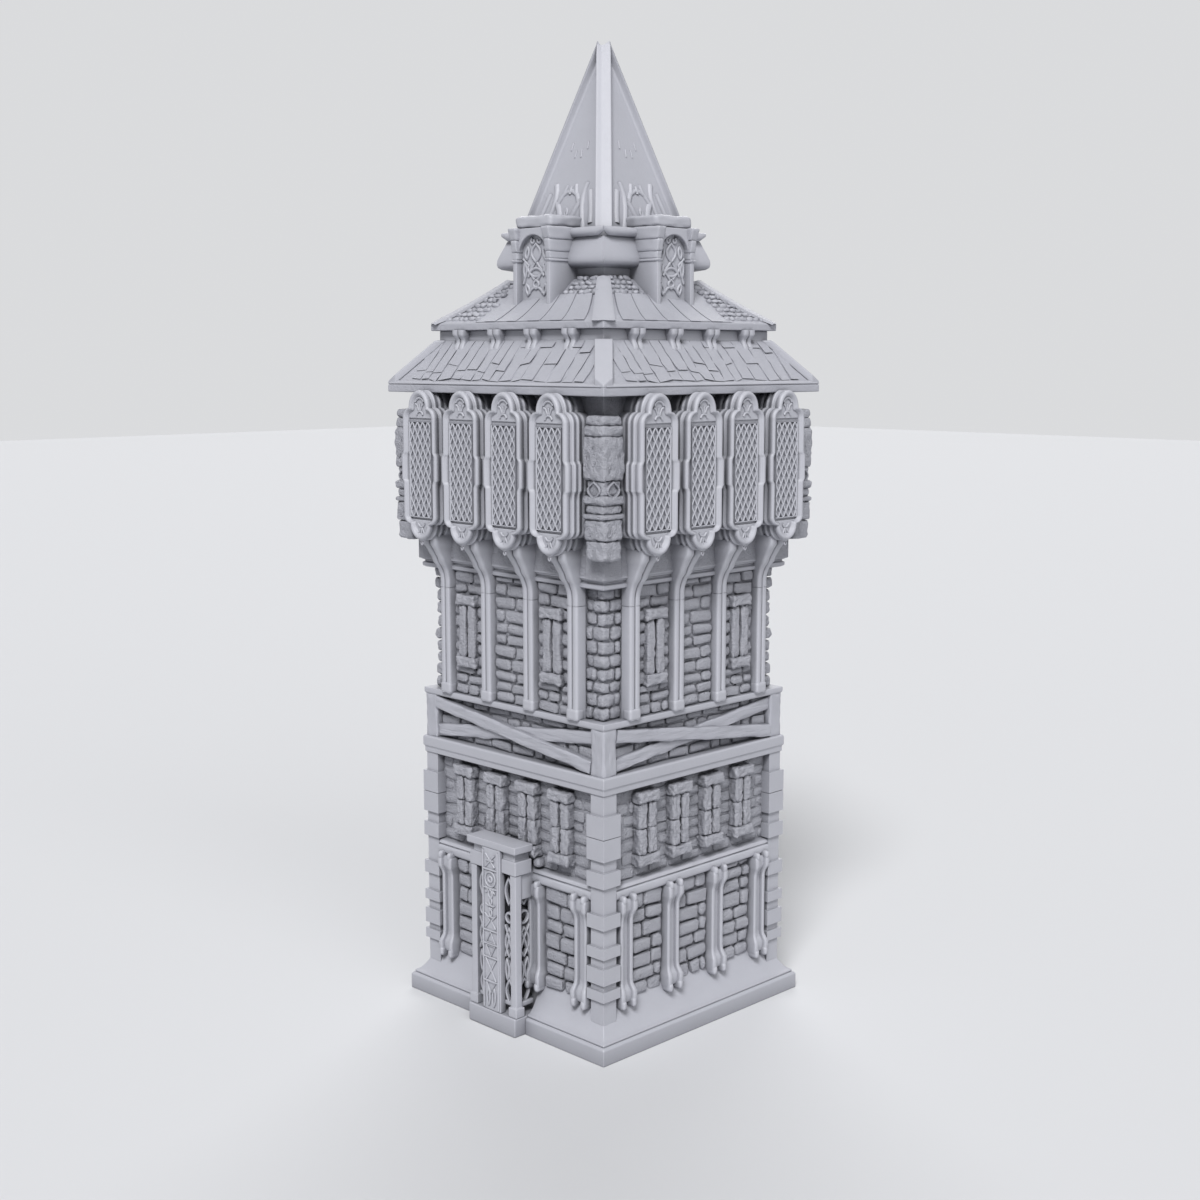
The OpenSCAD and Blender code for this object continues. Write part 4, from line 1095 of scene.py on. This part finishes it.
def porch():
    """The porch's castings, the pierced work between its posts and on its cheeks, and its carving."""
    softened("porch_canopy", SMOOTH, 0.7, segments=3)
    softened("porch_posts", CARVED, 0.3)
    softened("porch_pilaster", CARVED, 0.35)
    bm = bmesh.new()
    z0, z1, face = foot("porch_screens"), top("porch_screens"), reach("porch_screens")
    post = high("porch_posts")[0] - 2.0
    gap_low, gap_high = 4.4, post - 1.4
    for side in (-1, 1):
        middle = side * (gap_low + gap_high) / 2
        tracery(bm, middle, (gap_high - gap_low) / 2, z0, z1, face - 1.2, face, at)
        lump(bm, (middle - 2.2, face - 1.3, z0 - 0.4), (middle + 2.2, face + 0.1, z0 + 1.2),
             soft=0.4, rough=0.05)

        def cheek(along, proud, z, side=side):
            return at(side * (post - 1.1 + proud), along, z)
        tracery(bm, 47.6, 2.7, z0, z1, -0.6, 0.6, cheek)
        for low_z, high_z, rough in ((z0 - 0.4, z0 + 1.4, 0.05), (z1 - 9, z1 + 0.2, 0.1)):
            lump(bm, (side * post - 0.7, 44.5, low_z), (side * post + 0.7, 50.8, high_z),
                 soft=0.4, rough=rough)
    build("porch_tracery", bm, CARVED, FRONT_ONLY, ("porch_screens",))
    bm = bmesh.new()
    lump(bm, (11.2, WALL - 0.5, z1 + 1.8), (14.6, BODY + 0.6, z1 + 5.0), soft=1.3, rough=0.2, cuts=6)
    build("porch_corbel_end", bm, STONE, FRONT_ONLY)
    pilaster_carving()


def pilaster_carving():
    """Angular and curled figures in panels, between raised edges."""
    bm = bmesh.new()
    z0, z1, face = foot("porch_pilaster"), top("porch_pilaster"), reach("porch_pilaster")
    edge = 3.7

    def carve(path, width=0.75, closed=False):
        bead(bm, path, width, face - 0.4, face + 0.55, closed)
    figures = [(z1, ((2.3, -2), (0, -4.2), (2.3, -6.4))), (z0, ((2.6, 18.6), (0, 14.6), (2.6, 10.9))),
               (z0, ((2.9, 34.5), (0.4, 32.2), (2.6, 29.6)))]
    curls = [(1.0, -18.5, 1.7, 90, 230, 10), (-0.9, -22.6, 1.6, 80, -230, 10),
             (2.3, -14.6, 0.9, 90, 200, 8)]
    for side in (-1, 1):
        carve([(side * edge, z) for z in (z0 + 0.8, (z0 + z1) / 2, z1 - 0.8)], 0.7)
        for base_z, path in figures:
            carve([(side * x, base_z + z) for x, z in path])
        for x, z, radius, start, turn, steps in curls:
            carve(arc(side * x, z1 + z, radius, start, start + side * turn, steps))
        carve(leaf(side * 1.3, z0 + 1.6, 0.8, 6.6, side * 0.3), closed=True)
    carve([(x, z1 - 4.2) for x in (-1.9, 0, 1.9)])
    carve(arc(0, z1 - 10.8, 2.6, 0, 360, 16)[:-1], closed=True)
    carve(arc(0, z1 - 10.8, 1.0, 0, 360, 10)[:-1], 0.9, True)
    carve(leaf(0, z1 - 17.6, 1.0, 3.4), closed=True)
    for z, up in ((z0 + 24.4, 1), (z0 + 23.2, -1), (z0 + 10.2, -1)):
        carve([(-2.2, z), (0, z + 3.8 * up), (2.2, z)], closed=True)
    for z in (z0 + 23.8, z0 + 10.5, z0 + 19.0, z0 + 28.6, z1 - 7.4, z1 - 14.0):
        carve([(-edge, z), (0, z), (edge, z)], 0.7)
    build("pilaster_carving", bm, CARVED, FRONT_ONLY)


# ---- Base ----

def base():
    """The smooth masonry, and the moulded ledge under the gallery."""
    for node, width, mitred in (("base_plinth", 0.35, False), ("porch_plinth", 0.5, False),
                                ("base_batter", 0.3, True), ("corner_piers", 0.55, False),
                                ("lower_belt", 0.45, True), ("middle_floor", 0.45, False)):
        softened(node, SMOOTH, width, mitred)
    bm = bmesh.new()
    out, z = MIDDLE_WALL + 1.3, Z_LEDGE
    ring(bm, [(out - 6, z - 0.1), (out - 0.4, z - 0.1), (out + 0.5, z + 0.4), (out + 0.6, z + 1.5),
              (out - 0.1, z + 2.0), (out - 0.1, z + 2.4), (out + 0.7, z + 2.8), (out + 0.8, z + 3.9),
              (out, z + 4.4), (out - 1.4, z + 4.6), (out - 1.4, Z_GALLERY - 2),
              (GALLERY_WALL, Z_GALLERY - 0.6), (GALLERY_WALL, Z_GALLERY), (out - 6, Z_GALLERY)])
    build("gallery_ledge", bm, SMOOTH, FRONT_ONLY, ("gallery_floor",), seam_angle=40)


# ---- Studio ----

def studio():
    """The camera, three soft suns, a pale surround and a pale floor."""
    scene = bpy.context.scene
    eye = bpy.data.cameras.new("camera")
    eye.lens, eye.sensor_width, eye.shift_x = 50, 36, -0.003

    def aim(item, azimuth, height):
        """Point it at the tower from an azimuth and a height, in degrees."""
        item.rotation_euler = (math.radians(90 - height), 0, math.radians(azimuth))
    scene.camera = linked("camera", eye)
    scene.camera.location = (0.41476, -0.41476, 0.2297)
    aim(scene.camera, 45, 8.318)
    suns = (("key", 3.2, 36, 46, 20), ("fill", 0.7, 74, 30, 40), ("back", 1.1, 222, 38, 40))
    for name, strength, azimuth, height, softness in suns:
        sun = bpy.data.lights.new(name, "SUN")
        sun.energy, sun.angle = strength, math.radians(softness)
        aim(linked(name, sun), azimuth, height)
    world = bpy.data.worlds.new("studio")
    world.use_nodes = True
    tree = world.node_tree
    tree.nodes.clear()
    ray = add(tree, "ShaderNodeLightPath")
    seen = (ray, "Is Camera Ray")
    for kind in ("Is Glossy Ray", "Is Transmission Ray"):
        seen = (add(tree, "ShaderNodeMath", {"operation": "MAXIMUM"}, _0=seen, _1=(ray, kind)), "Value")
    strength = add(tree, "ShaderNodeMapRange", Value=seen, To_Min=0.1, To_Max=0.8)
    sky = add(tree, "ShaderNodeBackground", Color=linear("#F1F2F4"), Strength=(strength, "Result"))
    add(tree, "ShaderNodeOutputWorld", Surface=(sky, "Background"))
    scene.world = world
    bm = bmesh.new()
    bmesh.ops.create_grid(bm, x_segments=1, y_segments=1, size=4)
    mesh = bpy.data.meshes.new("floor")
    bm.to_mesh(mesh)
    bm.free()
    paint = bpy.data.materials.new("pale_paper")
    paint.use_nodes = True
    inputs = paint.node_tree.nodes["Principled BSDF"].inputs
    inputs["Base Color"].default_value = linear("#CFD0D3")
    inputs["Roughness"].default_value = 0.9
    mesh.materials.append(paint)
    floor = linked("floor", mesh)
    scene.view_settings.view_transform = "Standard"


studio()
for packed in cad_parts.values():
    packed.data.materials.clear()
    packed.data.materials.append(SMOOTH)
for wall_node in [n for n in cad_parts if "wall" in n or "infill" in n]:
    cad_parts[wall_node].data.materials[0] = STONE

base()
build("lower_wall_stones", lower_stones(random.Random(3), ()), STONE, OTHER_SIDES)
doorway = [(-6.2, 6.2, 0, 50.2)]  # behind the porch
build("front_wall_stones", lower_stones(random.Random(3), doorway), STONE, FRONT_ONLY)
slit_stones(random.Random(5))
buttresses()
string_mouldings()
slit_frames("lower_window_frames", "lower_slit_frames", SLITS, WALL, 2, random.Random(7))
brace_stones(random.Random(11))
cross_braces()
corner_posts()
middle_stones(random.Random(13))
quoins(random.Random(17))
ribs()
slit_frames("middle_window_frames", "middle_slit_frames", MIDDLE_SLITS, MIDDLE_WALL, 1,
            random.Random(19))
oriel_frames()
lattices()
tympana()
corner_columns()
lower_roof()
brackets()
upper_roof()
lantern()
dormers()
spire()
porch()
